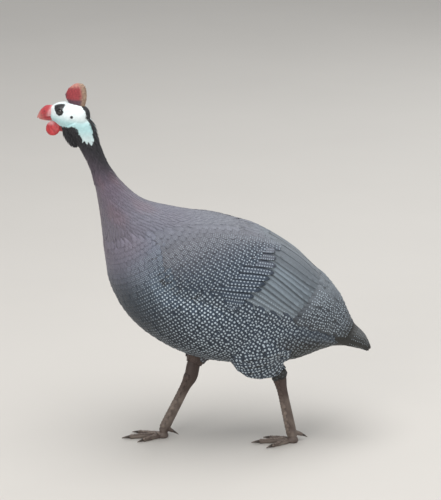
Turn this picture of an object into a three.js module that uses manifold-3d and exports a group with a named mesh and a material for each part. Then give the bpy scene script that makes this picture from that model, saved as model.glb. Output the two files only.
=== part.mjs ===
// A helmeted guinea fowl, standing in mid stride, as a set of closed solids.
// Millimetres, +Z up. The bird walks towards -X, so its left side is -Y.
import * as THREE from "three";
import { mergeVertices } from "three/addons/utils/BufferGeometryUtils.js";
import Module from "manifold-3d";

const wasm = await Module();
wasm.setup();

// Driving dimensions of the whole bird
const partingGap = 0.3; // between neighbouring solids
const embed = 2; // how far a fitted piece starts inside the piece that trims it
const bodySides = 24; // points round a section of the neck or the trunk
const ringsPerStation = 3;

// Head: its own frame, turned away from the walking direction
const headTurn = THREE.MathUtils.degToRad(32);
const headCentre = new THREE.Vector3(-205, 13, 455); // mid-plane point between the eyes
const eyeRadius = 5.6;
const eyeOut = 9.6; // eye centre from the head's mid-plane
const eyeUp = -1.8;
const billTipAhead = 40; // bill tip in front of the eyes
const skullSides = 18;
const dewlapCentre = new THREE.Vector3(-199, 4, 423); // the fold of skin under the throat
const dewlapHalf = [18, 6, 8.5];
const wattleHalf = [8.5, 2.6, 9.5]; // ahead, across and up
const wattlePlace = { ahead: 14.5, out: 9.5, up: -24.3 };
const wattleFlare = THREE.MathUtils.degToRad(20);

// Legs
const stanceHalf = 23; // foot from the mid-plane
const shankAcross = 5;
const shankDeep = 6.4;
const middleToeLength = 44;
const toeWidth = 3.9;
const clawLength = 11;
const clawClearance = 0.05; // a claw's underside stays this far off the ground
const padRadius = 7.6; // the ball of the foot
const halluxHeight = 15; // the hind toe's root above the ground
const halluxLength = 13;
const halluxHalf = 2.8;
const hindClawLength = 7.5;

// Cuts through the neck, trunk and tail. Each has its underside point and its back point,
// both as [x, z], and half of its width.
const bodyStations = [
  { part: "throat", under: [-206, 434], over: [-177, 450], halfWidth: 10.5, taper: 0 },
  { part: "nape", under: [-196, 419], over: [-168, 433], halfWidth: 12.5, taper: 0 },
  { part: "neck", under: [-177, 383], over: [-156, 394], halfWidth: 12, taper: 0 },
  { part: "neck base", under: [-170, 355], over: [-140, 368], halfWidth: 17, taper: 0 },
  { part: "shoulder", under: [-165, 315], over: [-105, 336], halfWidth: 35, taper: 0.02 },
  { part: "upper breast", under: [-159, 263], over: [-60, 322], halfWidth: 59, taper: 0.06 },
  { part: "breast", under: [-148, 212], over: [-8, 311], halfWidth: 74, taper: 0.1 },
  { part: "mid trunk", under: [-112, 162], over: [49, 290], halfWidth: 81, taper: 0.12 },
  { part: "belly", under: [-42, 122], over: [100, 255], halfWidth: 80, taper: 0.12 },
  { part: "rump", under: [60, 109], over: [144, 209], halfWidth: 62, taper: 0.08 },
  { part: "tail base", under: [122, 126], over: [168, 160], halfWidth: 37, taper: 0.06 },
  { part: "tail", under: [158, 128], over: [183, 139], halfWidth: 28, taper: 0 },
  { part: "tail tip", under: [185, 122], over: [193, 125], halfWidth: 17, taper: 0 },
];
const stationNames = bodyStations.map((station) => station.part);
const stationOf = (part) => stationNames.indexOf(part);

// The folded wing, as a raised patch on the trunk's side: at each place along the body its
// lower and upper edge, as angles round the section (0 is the widest place, 90 is the back).
const wingSpans = [
  { at: 4.9, low: 8, high: 24, raise: 0.4 },
  { at: 5.4, low: -11, high: 58, raise: 4 },
  { at: 6.2, low: -16, high: 72, raise: 7 },
  { at: 7, low: -5, high: 79, raise: 7.5 },
  { at: 7.9, low: 2, high: 80, raise: 7 },
  { at: 8.5, low: 6, high: 74, raise: 5 },
  { at: 8.95, low: 10, high: 52, raise: 2.5 },
  { at: 9.3, low: 14, high: 34, raise: 0.6 },
];
const wingRings = 16;
const wingSteps = 8;
const wingSkin = 1.4; // thickness of the wing at its edge

// Materials
const paint = (color, roughness) => new THREE.MeshStandardMaterial({ color, roughness, metalness: 0 });
const coat = paint("#3f424b", 0.85);
const neckCoat = paint("#4a3d4a", 0.85);
const bareSkin = paint("#cfe3e6", 0.55);
const redSkin = paint("#c8403c", 0.45);
const horn = paint("#a5725a", 0.5);
const scales = paint("#5b4c45", 0.6);
const clawHorn = paint("#3b332e", 0.5);
const eyeGloss = paint("#15110f", 0.08);

// Helpers
const smooth = (t) => t * t * (3 - 2 * t);
const mix = THREE.MathUtils.lerp;

function spline(values, at) {
  // Catmull-Rom through evenly spaced values, held straight past both ends
  const last = values.length - 1;
  const place = THREE.MathUtils.clamp(at, 0, last);
  const i = Math.min(Math.floor(place), last - 1);
  const t = place - i;
  const before = i > 0 ? values[i - 1] : 2 * values[0] - values[1];
  const after = i + 2 <= last ? values[i + 2] : 2 * values[last] - values[last - 1];
  const slopeIn = (values[i + 1] - before) / 2;
  const slopeOut = (after - values[i]) / 2;
  const t2 = t * t;
  const t3 = t2 * t;
  const keep = (2 * t3 - 3 * t2 + 1) * values[i] + (3 * t2 - 2 * t3) * values[i + 1];
  return keep + (t3 - 2 * t2 + t) * slopeIn + (t3 - t2) * slopeOut;
}

function alongRows(rows, key, at) {
  // Smooth reading of one column of a table whose rows carry their own place
  let i = 0;
  while (i < rows.length - 2 && at > rows[i + 1].at) i += 1;
  const t = THREE.MathUtils.clamp((at - rows[i].at) / (rows[i + 1].at - rows[i].at), 0, 1);
  return mix(rows[i][key], rows[i + 1][key], smooth(t));
}

function loft(rings) {
  // Closed body through rings of equal point counts, with a flat fan at both ends
  const sides = rings[0].length;
  const positions = [];
  const index = [];
  for (const ring of rings) {
    for (const point of ring) positions.push(point.x, point.y, point.z);
  }
  for (let r = 0; r + 1 < rings.length; r += 1) {
    for (let k = 0; k < sides; k += 1) {
      const next = (k + 1) % sides;
      const a = r * sides + k;
      const b = r * sides + next;
      const c = a + sides;
      const d = b + sides;
      index.push(a, b, d, a, d, c);
    }
  }
  for (const end of [0, rings.length - 1]) {
    const centre = new THREE.Vector3();
    for (const point of rings[end]) centre.addScaledVector(point, 1 / sides);
    const hub = positions.length / 3;
    positions.push(centre.x, centre.y, centre.z);
    for (let k = 0; k < sides; k += 1) {
      const a = end * sides + k;
      const b = end * sides + ((k + 1) % sides);
      if (end === 0) index.push(hub, b, a);
      else index.push(hub, a, b);
    }
  }
  const geometry = new THREE.BufferGeometry();
  geometry.setAttribute("position", new THREE.Float32BufferAttribute(positions, 3));
  geometry.setIndex(index);
  return faceOutward(geometry);
}

function faceOutward(geometry) {
  // Turns every triangle over if the enclosed volume comes out negative
  const p = geometry.attributes.position;
  const index = geometry.index.array;
  const corner = [new THREE.Vector3(), new THREE.Vector3(), new THREE.Vector3()];
  let volume = 0;
  for (let i = 0; i < index.length; i += 3) {
    corner.forEach((v, k) => v.fromBufferAttribute(p, index[i + k]));
    volume += corner[0].dot(corner[1].clone().cross(corner[2]));
  }
  if (volume < 0) {
    for (let i = 0; i < index.length; i += 3) {
      [index[i + 1], index[i + 2]] = [index[i + 2], index[i + 1]];
    }
  }
  return geometry;
}

function toSolid(geometry) {
  const bare = geometry.clone();
  bare.deleteAttribute("normal");
  bare.deleteAttribute("uv");
  const merged = mergeVertices(bare, 1e-4);
  return new wasm.Manifold(
    new wasm.Mesh({
      numProp: 3,
      vertProperties: new Float32Array(merged.attributes.position.array),
      triVerts: new Uint32Array(merged.index.array),
    }),
  );
}

function toMesh(name, solid, material) {
  const cut = solid.getMesh();
  const geometry = new THREE.BufferGeometry();
  geometry.setAttribute("position", new THREE.BufferAttribute(cut.vertProperties, 3));
  geometry.setIndex(new THREE.BufferAttribute(cut.triVerts, 1));
  geometry.computeVertexNormals();
  const mesh = new THREE.Mesh(geometry, material);
  mesh.name = name;
  return mesh;
}

const join = (solids) => solids.slice(1).reduce((sum, solid) => sum.add(solid), solids[0]);

// A rounded piece: a sphere with three half lengths along its own turned axes
function roundSolid(centre, half, axes, rows = 8) {
  const geometry = new THREE.SphereGeometry(1, 2 * rows - 2, rows);
  const [along, across, up] = axes;
  const place = new THREE.Matrix4().makeBasis(
    along.clone().multiplyScalar(half[0]),
    across.clone().multiplyScalar(half[1]),
    up.clone().multiplyScalar(half[2]),
  );
  place.setPosition(centre);
  geometry.applyMatrix4(place);
  return toSolid(faceOutward(geometry));
}

// Trunk, neck and tail share one surface: a place along the body and an angle round it
function bodyPoint(at, angle, grow = 0) {
  const column = (pick) => spline(bodyStations.map(pick), at);
  const under = new THREE.Vector3(column((s) => s.under[0]), 0, column((s) => s.under[1]));
  const over = new THREE.Vector3(column((s) => s.over[0]), 0, column((s) => s.over[1]));
  const halfWidth = column((s) => s.halfWidth) + grow;
  const taper = column((s) => s.taper);
  const centre = under.clone().add(over).multiplyScalar(0.5);
  const rise = over.clone().sub(under).multiplyScalar(0.5);
  rise.setLength(rise.length() + grow);
  const point = centre.addScaledVector(rise, Math.sin(angle));
  point.y = halfWidth * Math.cos(angle) * (1 - taper * Math.sin(angle));
  return point;
}

function bodyRing(at, grow) {
  const ring = [];
  for (let k = 0; k < bodySides; k += 1) {
    ring.push(bodyPoint(at, (2 * Math.PI * k) / bodySides, grow));
  }
  return ring;
}

function bodyLength(from, to, grow = 0) {
  const count = Math.max(2, Math.round((to - from) * ringsPerStation));
  const rings = [];
  for (let r = 0; r <= count; r += 1) rings.push(bodyRing(mix(from, to, r / count), grow));
  return loft(rings);
}

function bodyNormal(at, angle) {
  const step = 0.01;
  const alongStep = bodyPoint(at + step, angle).sub(bodyPoint(at - step, angle));
  const roundStep = bodyPoint(at, angle + step).sub(bodyPoint(at, angle - step));
  const normal = alongStep.cross(roundStep).normalize();
  const outward = bodyPoint(at, angle).sub(bodyPoint(at, angle + Math.PI));
  return normal.dot(outward) < 0 ? normal.negate() : normal;
}

// One folded wing: an outer face that bulges, and an inner face sunk into the trunk
function wingSolid(side) {
  const first = wingSpans[0].at;
  const last = wingSpans[wingSpans.length - 1].at;
  const rings = [];
  for (let r = 0; r <= wingRings; r += 1) {
    const at = mix(first, last, r / wingRings);
    const low = THREE.MathUtils.degToRad(alongRows(wingSpans, "low", at));
    const high = THREE.MathUtils.degToRad(alongRows(wingSpans, "high", at));
    const raise = alongRows(wingSpans, "raise", at);
    const outer = [];
    const inner = [];
    for (let k = 0; k <= wingSteps; k += 1) {
      const share = k / wingSteps;
      const angle = mix(low, high, share);
      const bulge = 1 - Math.abs(2 * share - 1) ** 2.6;
      const normal = bodyNormal(at, angle);
      const foot = bodyPoint(at, angle);
      outer.push(foot.clone().addScaledVector(normal, partingGap + wingSkin + raise * bulge));
      inner.push(foot.clone().addScaledVector(normal, -embed));
    }
    const ring = outer.concat(inner.reverse());
    for (const point of ring) point.y *= side;
    rings.push(ring);
  }
  return toSolid(loft(rings));
}

// A limb: oval rings along a route, each with its half depth (in the limb's side plane) and
// its half width across
function limb(stops, sides, ringsBetween, grow = 0) {
  const column = (pick, at) => spline(stops.map(pick), at);
  const centreAt = (at) => new THREE.Vector3(...[0, 1, 2].map((axis) => column((s) => s.at[axis], at)));
  const total = (stops.length - 1) * ringsBetween;
  const rings = [];
  for (let r = 0; r <= total; r += 1) {
    const at = r / ringsBetween;
    const heading = centreAt(at + 0.05).sub(centreAt(at - 0.05)).normalize();
    const across = new THREE.Vector3(-heading.z, 0, heading.x).cross(heading).normalize();
    const deepAxis = across.clone().cross(heading).normalize();
    const ring = [];
    for (let k = 0; k < sides; k += 1) {
      const angle = (2 * Math.PI * k) / sides;
      const point = centreAt(at);
      point.addScaledVector(deepAxis, (column((s) => s.deep, at) + grow) * Math.cos(angle));
      point.addScaledVector(across, (column((s) => s.wide, at) + grow) * Math.sin(angle));
      ring.push(point);
    }
    rings.push(ring);
  }
  return loft(rings);
}

// The head's own axes: forward along the bill, out to the bird's left, and up
const headForward = new THREE.Vector3(-Math.cos(headTurn), Math.sin(headTurn), 0);
const headUp = new THREE.Vector3(0, 0, 1);
const headLeft = headUp.clone().cross(headForward);

function inHead(ahead, left, up) {
  return headCentre
    .clone()
    .addScaledVector(headForward, ahead)
    .addScaledVector(headLeft, left)
    .addScaledVector(headUp, up);
}

// Upright oval rings along the head's forward axis; ridge narrows the upper half
function headLoft(stops, sides, ringsBetween, ridge = 0, grow = 0) {
  const column = (pick, at) => spline(stops.map(pick), at);
  const total = (stops.length - 1) * ringsBetween;
  const rings = [];
  for (let r = 0; r <= total; r += 1) {
    const at = r / ringsBetween;
    const ahead = column((s) => s.ahead, at) + (r === 0 ? -grow : 0) + (r === total ? grow : 0);
    const top = column((s) => s.top, at) + grow;
    const bottom = column((s) => s.bottom, at) - grow;
    const halfWidth = column((s) => s.halfWidth, at) + grow;
    const ring = [];
    for (let k = 0; k < sides; k += 1) {
      const angle = (2 * Math.PI * k) / sides;
      const height = Math.sin(angle);
      const width = halfWidth * Math.cos(angle) * (1 - ridge * height);
      ring.push(inHead(ahead, width, mix(bottom, top, 0.5 + 0.5 * height)));
    }
    rings.push(ring);
  }
  return loft(rings);
}

const skullStops = [
  { ahead: -34.5, top: -3, bottom: -12, halfWidth: 3 },
  { ahead: -31, top: 3, bottom: -20, halfWidth: 9.5 },
  { ahead: -22, top: 8, bottom: -27, halfWidth: 14 },
  { ahead: -10, top: 9, bottom: -28, halfWidth: 15.4 },
  { ahead: 1, top: 8.6, bottom: -25, halfWidth: 14.8 },
  { ahead: 10, top: 6.8, bottom: -21.5, halfWidth: 12.4 },
  { ahead: 17, top: 4, bottom: -18.5, halfWidth: 9.6 },
  { ahead: 21, top: 1.4, bottom: -16, halfWidth: 7.6 },
];

const billStart = 21 + partingGap;
const upperBillStops = [
  { ahead: billStart, top: 1.4, bottom: -10, halfWidth: 7.2 },
  { ahead: 27.5, top: -1.4, bottom: -10.4, halfWidth: 6.3 },
  { ahead: 33, top: -5, bottom: -11.4, halfWidth: 4.8 },
  { ahead: 37.5, top: -8, bottom: -13, halfWidth: 3 },
  { ahead: billTipAhead, top: -12.6, bottom: -15.2, halfWidth: 1.1 },
];
const lowerBillStops = [
  { ahead: billStart, top: -10.4, bottom: -15.8, halfWidth: 6.4 },
  { ahead: 27.5, top: -10.9, bottom: -16.4, halfWidth: 5.4 },
  { ahead: 33, top: -12, bottom: -16.4, halfWidth: 3.9 },
  { ahead: 36.5, top: -13.6, bottom: -16, halfWidth: 2.1 },
];

function headSolid() {
  const skull = toSolid(headLoft(skullStops, skullSides, 2));
  const neckTop = toSolid(bodyLength(0, stationOf("nape")));
  const dewlapAxis = new THREE.Vector3(-0.42, 0.1, 0.9).normalize();
  const dewlapAcross = headUp.clone().cross(dewlapAxis).normalize();
  const dewlapDeep = dewlapAxis.clone().cross(dewlapAcross);
  const dewlap = roundSolid(dewlapCentre, dewlapHalf, [dewlapAxis, dewlapAcross, dewlapDeep]);
  return join([skull, neckTop, dewlap]);
}

// The casque: rings stacked up a horn that leans back, longer than it is wide
function casqueSolid() {
  const stops = [
    { up: 5, front: -6, rear: -25, halfWidth: 5.8 },
    { up: 13, front: -3, rear: -27.5, halfWidth: 5.6 },
    { up: 21, front: -2.8, rear: -29.5, halfWidth: 5 },
    { up: 28, front: -8, rear: -29, halfWidth: 4.2 },
    { up: 32, front: -15, rear: -26.5, halfWidth: 3 },
    { up: 34, front: -18.5, rear: -24.5, halfWidth: 1.4 },
  ];
  const column = (pick, at) => spline(stops.map(pick), at);
  const rings = [];
  const total = (stops.length - 1) * 2;
  for (let r = 0; r <= total; r += 1) {
    const at = r / 2;
    const front = column((s) => s.front, at);
    const rear = column((s) => s.rear, at);
    const ring = [];
    for (let k = 0; k < 14; k += 1) {
      const angle = (2 * Math.PI * k) / 14;
      const ahead = mix(rear, front, 0.5 + 0.5 * Math.cos(angle));
      ring.push(inHead(ahead, column((s) => s.halfWidth, at) * Math.sin(angle), column((s) => s.up, at)));
    }
    rings.push(ring);
  }
  return toSolid(loft(rings));
}

// A wattle: a flat lobe that hangs from the corner of the mouth and flares outward
function wattleSolid(side) {
  const flare = wattleFlare * side;
  const across = headLeft.clone().multiplyScalar(Math.cos(flare)).addScaledVector(headUp, Math.sin(flare));
  const up = headForward.clone().cross(across).negate().normalize();
  const centre = inHead(wattlePlace.ahead, side * wattlePlace.out, wattlePlace.up);
  return roundSolid(centre, wattleHalf, [headForward, across, up], 7);
}

// The foot's ball: a low pad with a flat sole, where the toes meet the shank
function footPad(ball, grow = 0) {
  const sides = 16;
  const floor = grow > 0 ? -1 : 0;
  const levels = [
    { z: floor, radius: padRadius - 1 },
    { z: 2.5, radius: padRadius },
    { z: 6, radius: padRadius - 1 },
    { z: 9.5 + grow, radius: padRadius - 4 },
  ];
  const rings = levels.map((level) => {
    const ring = [];
    for (let k = 0; k < sides; k += 1) {
      const angle = (2 * Math.PI * k) / sides;
      const reach = level.radius + grow;
      const point = ball.clone().setZ(level.z);
      point.x += reach * Math.cos(angle);
      point.y += reach * Math.sin(angle);
      ring.push(point);
    }
    return ring;
  });
  return toSolid(loft(rings));
}

// One toe: a padded limb with a flat sole on the ground, from the foot's ball outward
function toeSolid(ball, heading, length, width, grow = 0) {
  const forward = new THREE.Vector3(Math.cos(heading), Math.sin(heading), 0);
  const across = new THREE.Vector3(-forward.y, forward.x, 0);
  const floor = grow > 0 ? -1 : 0;
  const stretch = 7;
  const sides = 8;
  const rings = [];
  for (let r = 0; r <= stretch; r += 1) {
    const share = r / stretch;
    const pad = 1 + 0.09 * Math.cos(share * Math.PI * 6);
    const half = width * mix(1, 0.7, share) * pad + grow;
    const height = mix(width * 0.95, width * 0.6, share);
    const ring = [];
    for (let k = 0; k < sides; k += 1) {
      const angle = (2 * Math.PI * k) / sides;
      const point = ball.clone().addScaledVector(forward, share * length);
      point.addScaledVector(across, half * Math.cos(angle));
      point.z = Math.max(floor, height + half * Math.sin(angle));
      ring.push(point);
    }
    rings.push(ring);
  }
  return toSolid(loft(rings));
}

// One claw: a short curved horn that leaves the toe's end and bends down
function clawSolid(start, forward, size, length, drop) {
  const across = new THREE.Vector3(-forward.y, forward.x, 0).normalize();
  const sides = 6;
  const stretch = 4;
  const rings = [];
  for (let r = 0; r <= stretch; r += 1) {
    const share = r / stretch;
    const half = size * mix(1, 0.25, share ** 1.3);
    const ring = [];
    for (let k = 0; k < sides; k += 1) {
      const angle = (2 * Math.PI * k) / sides;
      const point = start.clone().addScaledVector(forward, share * length);
      point.addScaledVector(across, 0.8 * half * Math.cos(angle));
      point.z += half * Math.sin(angle) - drop * share * share;
      point.z = Math.max(clawClearance, point.z);
      ring.push(point);
    }
    rings.push(ring);
  }
  return toSolid(loft(rings));
}

// Both legs: the joints from the hip inside the trunk down to the ball of the foot, the
// heading of the toes in degrees, and the thigh's half depth at its four stops
const legs = [
  {
    side: "left",
    inward: 1,
    hip: [30, -46, 186],
    thigh: [34, -50, 150],
    tibia: [42, -41, 125],
    shankTop: [65, -29, 104],
    hock: [69, -25, 91],
    ball: [87, -stanceHalf, 8],
    heading: 178,
    depths: [44, 44, 34, 12],
  },
  {
    side: "right",
    inward: -1,
    hip: [2, 46, 190],
    thigh: [-10, 46, 150],
    tibia: [-27, 35, 122],
    shankTop: [-38, 27, 98],
    hock: [-42, 25, 82],
    ball: [-80, stanceHalf, 8],
    heading: 180,
    depths: [44, 38, 24, 11.5],
  },
];

function thighStops(leg) {
  return [
    { at: leg.hip, deep: leg.depths[0], wide: 24 },
    { at: leg.thigh, deep: leg.depths[1], wide: 26 },
    { at: leg.tibia, deep: leg.depths[2], wide: 20 },
    { at: leg.shankTop, deep: leg.depths[3], wide: 10.5 },
  ];
}

function shankStops(leg) {
  const hock = new THREE.Vector3(...leg.hock);
  const ball = new THREE.Vector3(...leg.ball);
  const along = (share) => hock.clone().lerp(ball, share).toArray();
  const tibia = new THREE.Vector3(...leg.tibia).lerp(new THREE.Vector3(...leg.shankTop), 0.55).toArray();
  return [
    { at: tibia, deep: 7.6, wide: 6.6 },
    { at: leg.shankTop, deep: 7.8, wide: 6.8 },
    { at: leg.hock, deep: 8.2, wide: 6.6 },
    { at: along(0.2), deep: 6.4, wide: 5 },
    { at: along(0.55), deep: shankDeep, wide: shankAcross },
    { at: along(0.86), deep: shankDeep + 0.2, wide: shankAcross + 0.7 },
    { at: along(1), deep: 6, wide: 6 },
  ];
}

// The front toes: how far each turns from the middle one, its length and its width
const toePlan = [
  { name: "middle", spread: 0, reach: 1, width: 1 },
  { name: "inner", spread: 27, reach: 0.72, width: 0.9 },
  { name: "outer", spread: -30, reach: 0.78, width: 0.9 },
];

function footMeshes(leg, shankGrown) {
  const ball = new THREE.Vector3(...leg.ball);
  const ground = ball.clone().setZ(0);
  const padGrown = footPad(ball, partingGap);
  const meshes = [];
  let middleGrown = null;
  for (const toe of toePlan) {
    const turn = leg.heading - leg.inward * toe.spread;
    const heading = THREE.MathUtils.degToRad(turn);
    const length = middleToeLength * toe.reach;
    const width = toeWidth * toe.width;
    let solid = toeSolid(ground, heading, length, width).subtract(padGrown).subtract(shankGrown);
    if (middleGrown) solid = solid.subtract(middleGrown);
    else middleGrown = toeSolid(ground, heading, length, width, partingGap);
    meshes.push(toMesh(`toe_${toe.name}_${leg.side}`, solid, scales));
    const forward = new THREE.Vector3(Math.cos(heading), Math.sin(heading), 0);
    const size = width * 0.52;
    const start = ground.clone().addScaledVector(forward, length + partingGap);
    start.z = width * 0.72;
    const claw = clawSolid(start, forward, size, clawLength * toe.reach ** 0.5, width * 0.3);
    meshes.push(toMesh(`claw_${toe.name}_${leg.side}`, claw, clawHorn));
  }
  const backward = THREE.MathUtils.degToRad(leg.heading + 180 + leg.inward * 14);
  const rear = new THREE.Vector3(Math.cos(backward), Math.sin(backward), -0.45).normalize();
  const root = ball.clone().setZ(halluxHeight).addScaledVector(rear, 2);
  const end = root.clone().addScaledVector(rear, halluxLength);
  const middle = root.clone().lerp(end, 0.5);
  const halluxStops = [
    { at: root.toArray(), deep: halluxHalf, wide: halluxHalf },
    { at: middle.toArray(), deep: halluxHalf * 1.1, wide: halluxHalf },
    { at: end.toArray(), deep: halluxHalf * 0.8, wide: halluxHalf * 0.75 },
  ];
  const hallux = toSolid(limb(halluxStops, 10, 3)).subtract(shankGrown).subtract(padGrown);
  meshes.push(toMesh(`toe_hind_${leg.side}`, hallux, scales));
  const clawStart = end.clone().addScaledVector(rear, 2.5 * partingGap);
  const clawHind = clawSolid(clawStart, rear, halluxHalf * 0.65, hindClawLength, halluxHalf * 0.4);
  meshes.push(toMesh(`claw_hind_${leg.side}`, clawHind, clawHorn));
  return meshes;
}

// Assembly, in the order of the body from the bill to the feet
const bird = new THREE.Group();
const cutAt = {
  neckTop: stationOf("nape"),
  neckEnd: stationOf("neck base"),
  tailStart: stationOf("tail base"),
};
const bodyEnd = bodyStations.length - 1;
const cutStep = 0.015; // a parting cut, as a share of the distance between two stations

const eyeSocket = (side) => {
  const socket = new THREE.SphereGeometry(eyeRadius + partingGap, 14, 8);
  socket.translate(...inHead(0, side * eyeOut, eyeUp).toArray());
  return toSolid(socket);
};
const neckGrown = toSolid(bodyLength(cutAt.neckTop + cutStep / 2, cutAt.neckEnd, partingGap));
const head = headSolid().subtract(neckGrown).subtract(eyeSocket(1)).subtract(eyeSocket(-1));
const skullGrown = toSolid(headLoft(skullStops, skullSides, 2, 0, partingGap));
const trunkGrown = toSolid(bodyLength(cutAt.neckEnd - 1, bodyEnd, partingGap));

bird.add(toMesh("head", head, bareSkin));
bird.add(toMesh("casque", casqueSolid().subtract(skullGrown), horn));
bird.add(toMesh("bill_upper", toSolid(headLoft(upperBillStops, 14, 2, 0.25)), redSkin));
bird.add(toMesh("bill_lower", toSolid(headLoft(lowerBillStops, 12, 2, -0.15)), redSkin));
for (const [side, sign] of [["left", 1], ["right", -1]]) {
  const eye = new THREE.SphereGeometry(eyeRadius, 14, 8);
  eye.translate(...inHead(0, sign * eyeOut, eyeUp).toArray());
  bird.add(toMesh(`eye_${side}`, toSolid(eye), eyeGloss));
  bird.add(toMesh(`wattle_${side}`, wattleSolid(sign).subtract(skullGrown), redSkin));
}

bird.add(toMesh("neck", toSolid(bodyLength(cutAt.neckTop + cutStep, cutAt.neckEnd)), neckCoat));
bird.add(toMesh("trunk", toSolid(bodyLength(cutAt.neckEnd + cutStep, cutAt.tailStart)), coat));
bird.add(toMesh("tail", toSolid(bodyLength(cutAt.tailStart + cutStep, bodyEnd)), coat));
bird.add(toMesh("wing_left", wingSolid(-1).subtract(trunkGrown), coat));
bird.add(toMesh("wing_right", wingSolid(1).subtract(trunkGrown), coat));

for (const leg of legs) {
  const pad = footPad(new THREE.Vector3(...leg.ball));
  const shank = toSolid(limb(shankStops(leg), 10, 2)).add(pad).subtract(trunkGrown);
  const shankGrown = toSolid(limb(shankStops(leg), 10, 2, partingGap));
  const thigh = toSolid(limb(thighStops(leg), 16, 3)).subtract(trunkGrown).subtract(shankGrown);
  bird.add(toMesh(`thigh_${leg.side}`, thigh, coat));
  bird.add(toMesh(`shank_${leg.side}`, shank, scales));
  for (const mesh of footMeshes(leg, shankGrown)) bird.add(mesh);
}

// The origin: on the ground, under the middle of the bird's box
const box = new THREE.Box3().setFromObject(bird);
bird.position.set(-(box.min.x + box.max.x) / 2, -(box.min.y + box.max.y) / 2, -box.min.z);

export default bird;
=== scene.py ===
"""A helmeted guinea fowl in mid stride: one skin under a coat of solid feathers.

All shapes are worked out in millimetres, in the bird's own axes: it walks towards -X, its left
side is -Y and the ground is z = 0. put() turns them into metres at the frame's place.
"""
import math

import bpy
import numpy as np
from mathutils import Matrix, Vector
from mathutils.bvhtree import BVHTree
from mathutils.geometry import delaunay_2d_cdt
from mathutils.kdtree import KDTree


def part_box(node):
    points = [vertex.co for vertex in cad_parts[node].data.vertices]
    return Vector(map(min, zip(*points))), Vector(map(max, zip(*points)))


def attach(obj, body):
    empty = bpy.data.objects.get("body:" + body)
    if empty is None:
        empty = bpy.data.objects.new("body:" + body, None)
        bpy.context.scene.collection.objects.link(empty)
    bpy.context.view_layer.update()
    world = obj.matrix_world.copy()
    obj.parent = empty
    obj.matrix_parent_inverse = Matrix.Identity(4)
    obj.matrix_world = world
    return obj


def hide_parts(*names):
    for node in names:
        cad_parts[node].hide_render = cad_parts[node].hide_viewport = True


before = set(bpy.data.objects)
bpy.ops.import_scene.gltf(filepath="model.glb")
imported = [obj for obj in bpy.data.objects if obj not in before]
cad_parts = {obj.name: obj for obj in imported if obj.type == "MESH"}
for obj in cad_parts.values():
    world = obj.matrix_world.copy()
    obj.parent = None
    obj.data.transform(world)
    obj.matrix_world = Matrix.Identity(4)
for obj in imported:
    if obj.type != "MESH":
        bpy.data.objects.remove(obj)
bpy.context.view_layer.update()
rng = np.random.default_rng(11)

# Head: its own axes, turned away from the walking direction
HEAD_TURN = math.radians(32)
HEAD_CENTRE = np.array([-205.0, 13.0, 455.0])
EYE_RADIUS = 5.6
EYE_OUT = 9.6
EYE_UP = -1.8
FORWARD = np.array([-math.cos(HEAD_TURN), math.sin(HEAD_TURN), 0.0])
UP = np.array([0.0, 0.0, 1.0])
LEFT = np.cross(UP, FORWARD)

# The frame's own place for the bird, from the two eyes
eye_boxes = [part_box("eye_left"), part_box("eye_right")]
eyes_middle = np.mean([[list(corner) for corner in box] for box in eye_boxes], axis=(0, 1)) * 1000
SHIFT = np.array([eyes_middle[0] - HEAD_CENTRE[0], eyes_middle[1] - HEAD_CENTRE[1], 0.0])

# Depth of the coat over the skin, in millimetres
COAT_BODY = 3.4
COAT_NAPE = 1.1
COAT_TAIL = 2.2
VANE_THICK = 0.28
SPOT_SHARE = 0.55  # how white a vane's spots are where nothing else is said
ROOT_SHADE = 0.78  # how dark a vane is at its root

# Cuts through throat, neck, trunk and tail: underside [x, z], back [x, z], half width, taper
BODY_CUTS = np.array([
    [-206, 434, -177, 450, 10.5, 0],
    [-196, 419, -168, 433, 12.5, 0],
    [-177, 383, -156, 394, 12, 0],
    [-170, 355, -140, 368, 17, 0],
    [-165, 315, -105, 336, 35, 0.02],
    [-159, 263, -60, 322, 59, 0.06],
    [-148, 212, -8, 311, 74, 0.1],
    [-112, 162, 49, 290, 81, 0.12],
    [-42, 122, 100, 255, 80, 0.12],
    [60, 109, 144, 209, 62, 0.08],
    [122, 126, 168, 160, 37, 0.06],
    [158, 128, 183, 139, 28, 0],
    [185, 122, 193, 125, 17, 0],
], dtype=float)
BODY_END = len(BODY_CUTS) - 1
NECK_JOIN = 2.25  # where the skin made with the head ends
NECK_START = 1.2  # where the skin made with the body starts, inside that of the head
TAIL_END = 11.5

# The folded wing on the trunk's side: place along the body, lower and upper edge in degrees
# round the section, and how far it stands out
WING_SPANS = np.array([
    [4.9, 8, 24, 0.4],
    [5.4, -11, 58, 4],
    [6.2, -16, 72, 7],
    [7, -5, 79, 7.5],
    [7.9, 2, 80, 7],
    [8.5, 6, 74, 5],
    [8.95, 10, 52, 2.5],
    [9.3, 14, 34, 0.6],
], dtype=float)

WING_RISE = 1.7  # height of the wing's border over the trunk, before the coat's depth
WING_SUNK = 9  # how deep the wing's inner face lies in the trunk

SKULL_CUTS = np.array([  # ahead, top, bottom, half width
    [-34.5, -3, -12, 3],
    [-31, 3, -20, 9.5],
    [-22, 8, -27, 14],
    [-10, 9, -28, 15.4],
    [1, 8.6, -25, 14.8],
    [9, 6.9, -21.5, 12.4],
    [14, 4.6, -19, 9.8],
    [17, 2.2, -16.5, 7],
], dtype=float)
UPPER_BILL_CUTS = np.array([
    [13.5, 2.4, -12, 8],
    [18, 2.7, -12.6, 8],
    [22.6, 2.4, -13, 7.5],
    [27.1, 1.3, -13.2, 6.5],
    [32.6, -3.2, -13.8, 4.7],
    [36.2, -8.2, -14.6, 2.9],
    [38.8, -13, -16.2, 1],
], dtype=float)
LOWER_BILL_CUTS = np.array([
    [13.5, -8.5, -17.4, 6.6],
    [19.5, -8.8, -17.9, 6.3],
    [27.5, -9.6, -18, 5.2],
    [32.5, -11.4, -17.6, 3.8],
    [36.2, -13.6, -16.8, 1.9],
], dtype=float)
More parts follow.
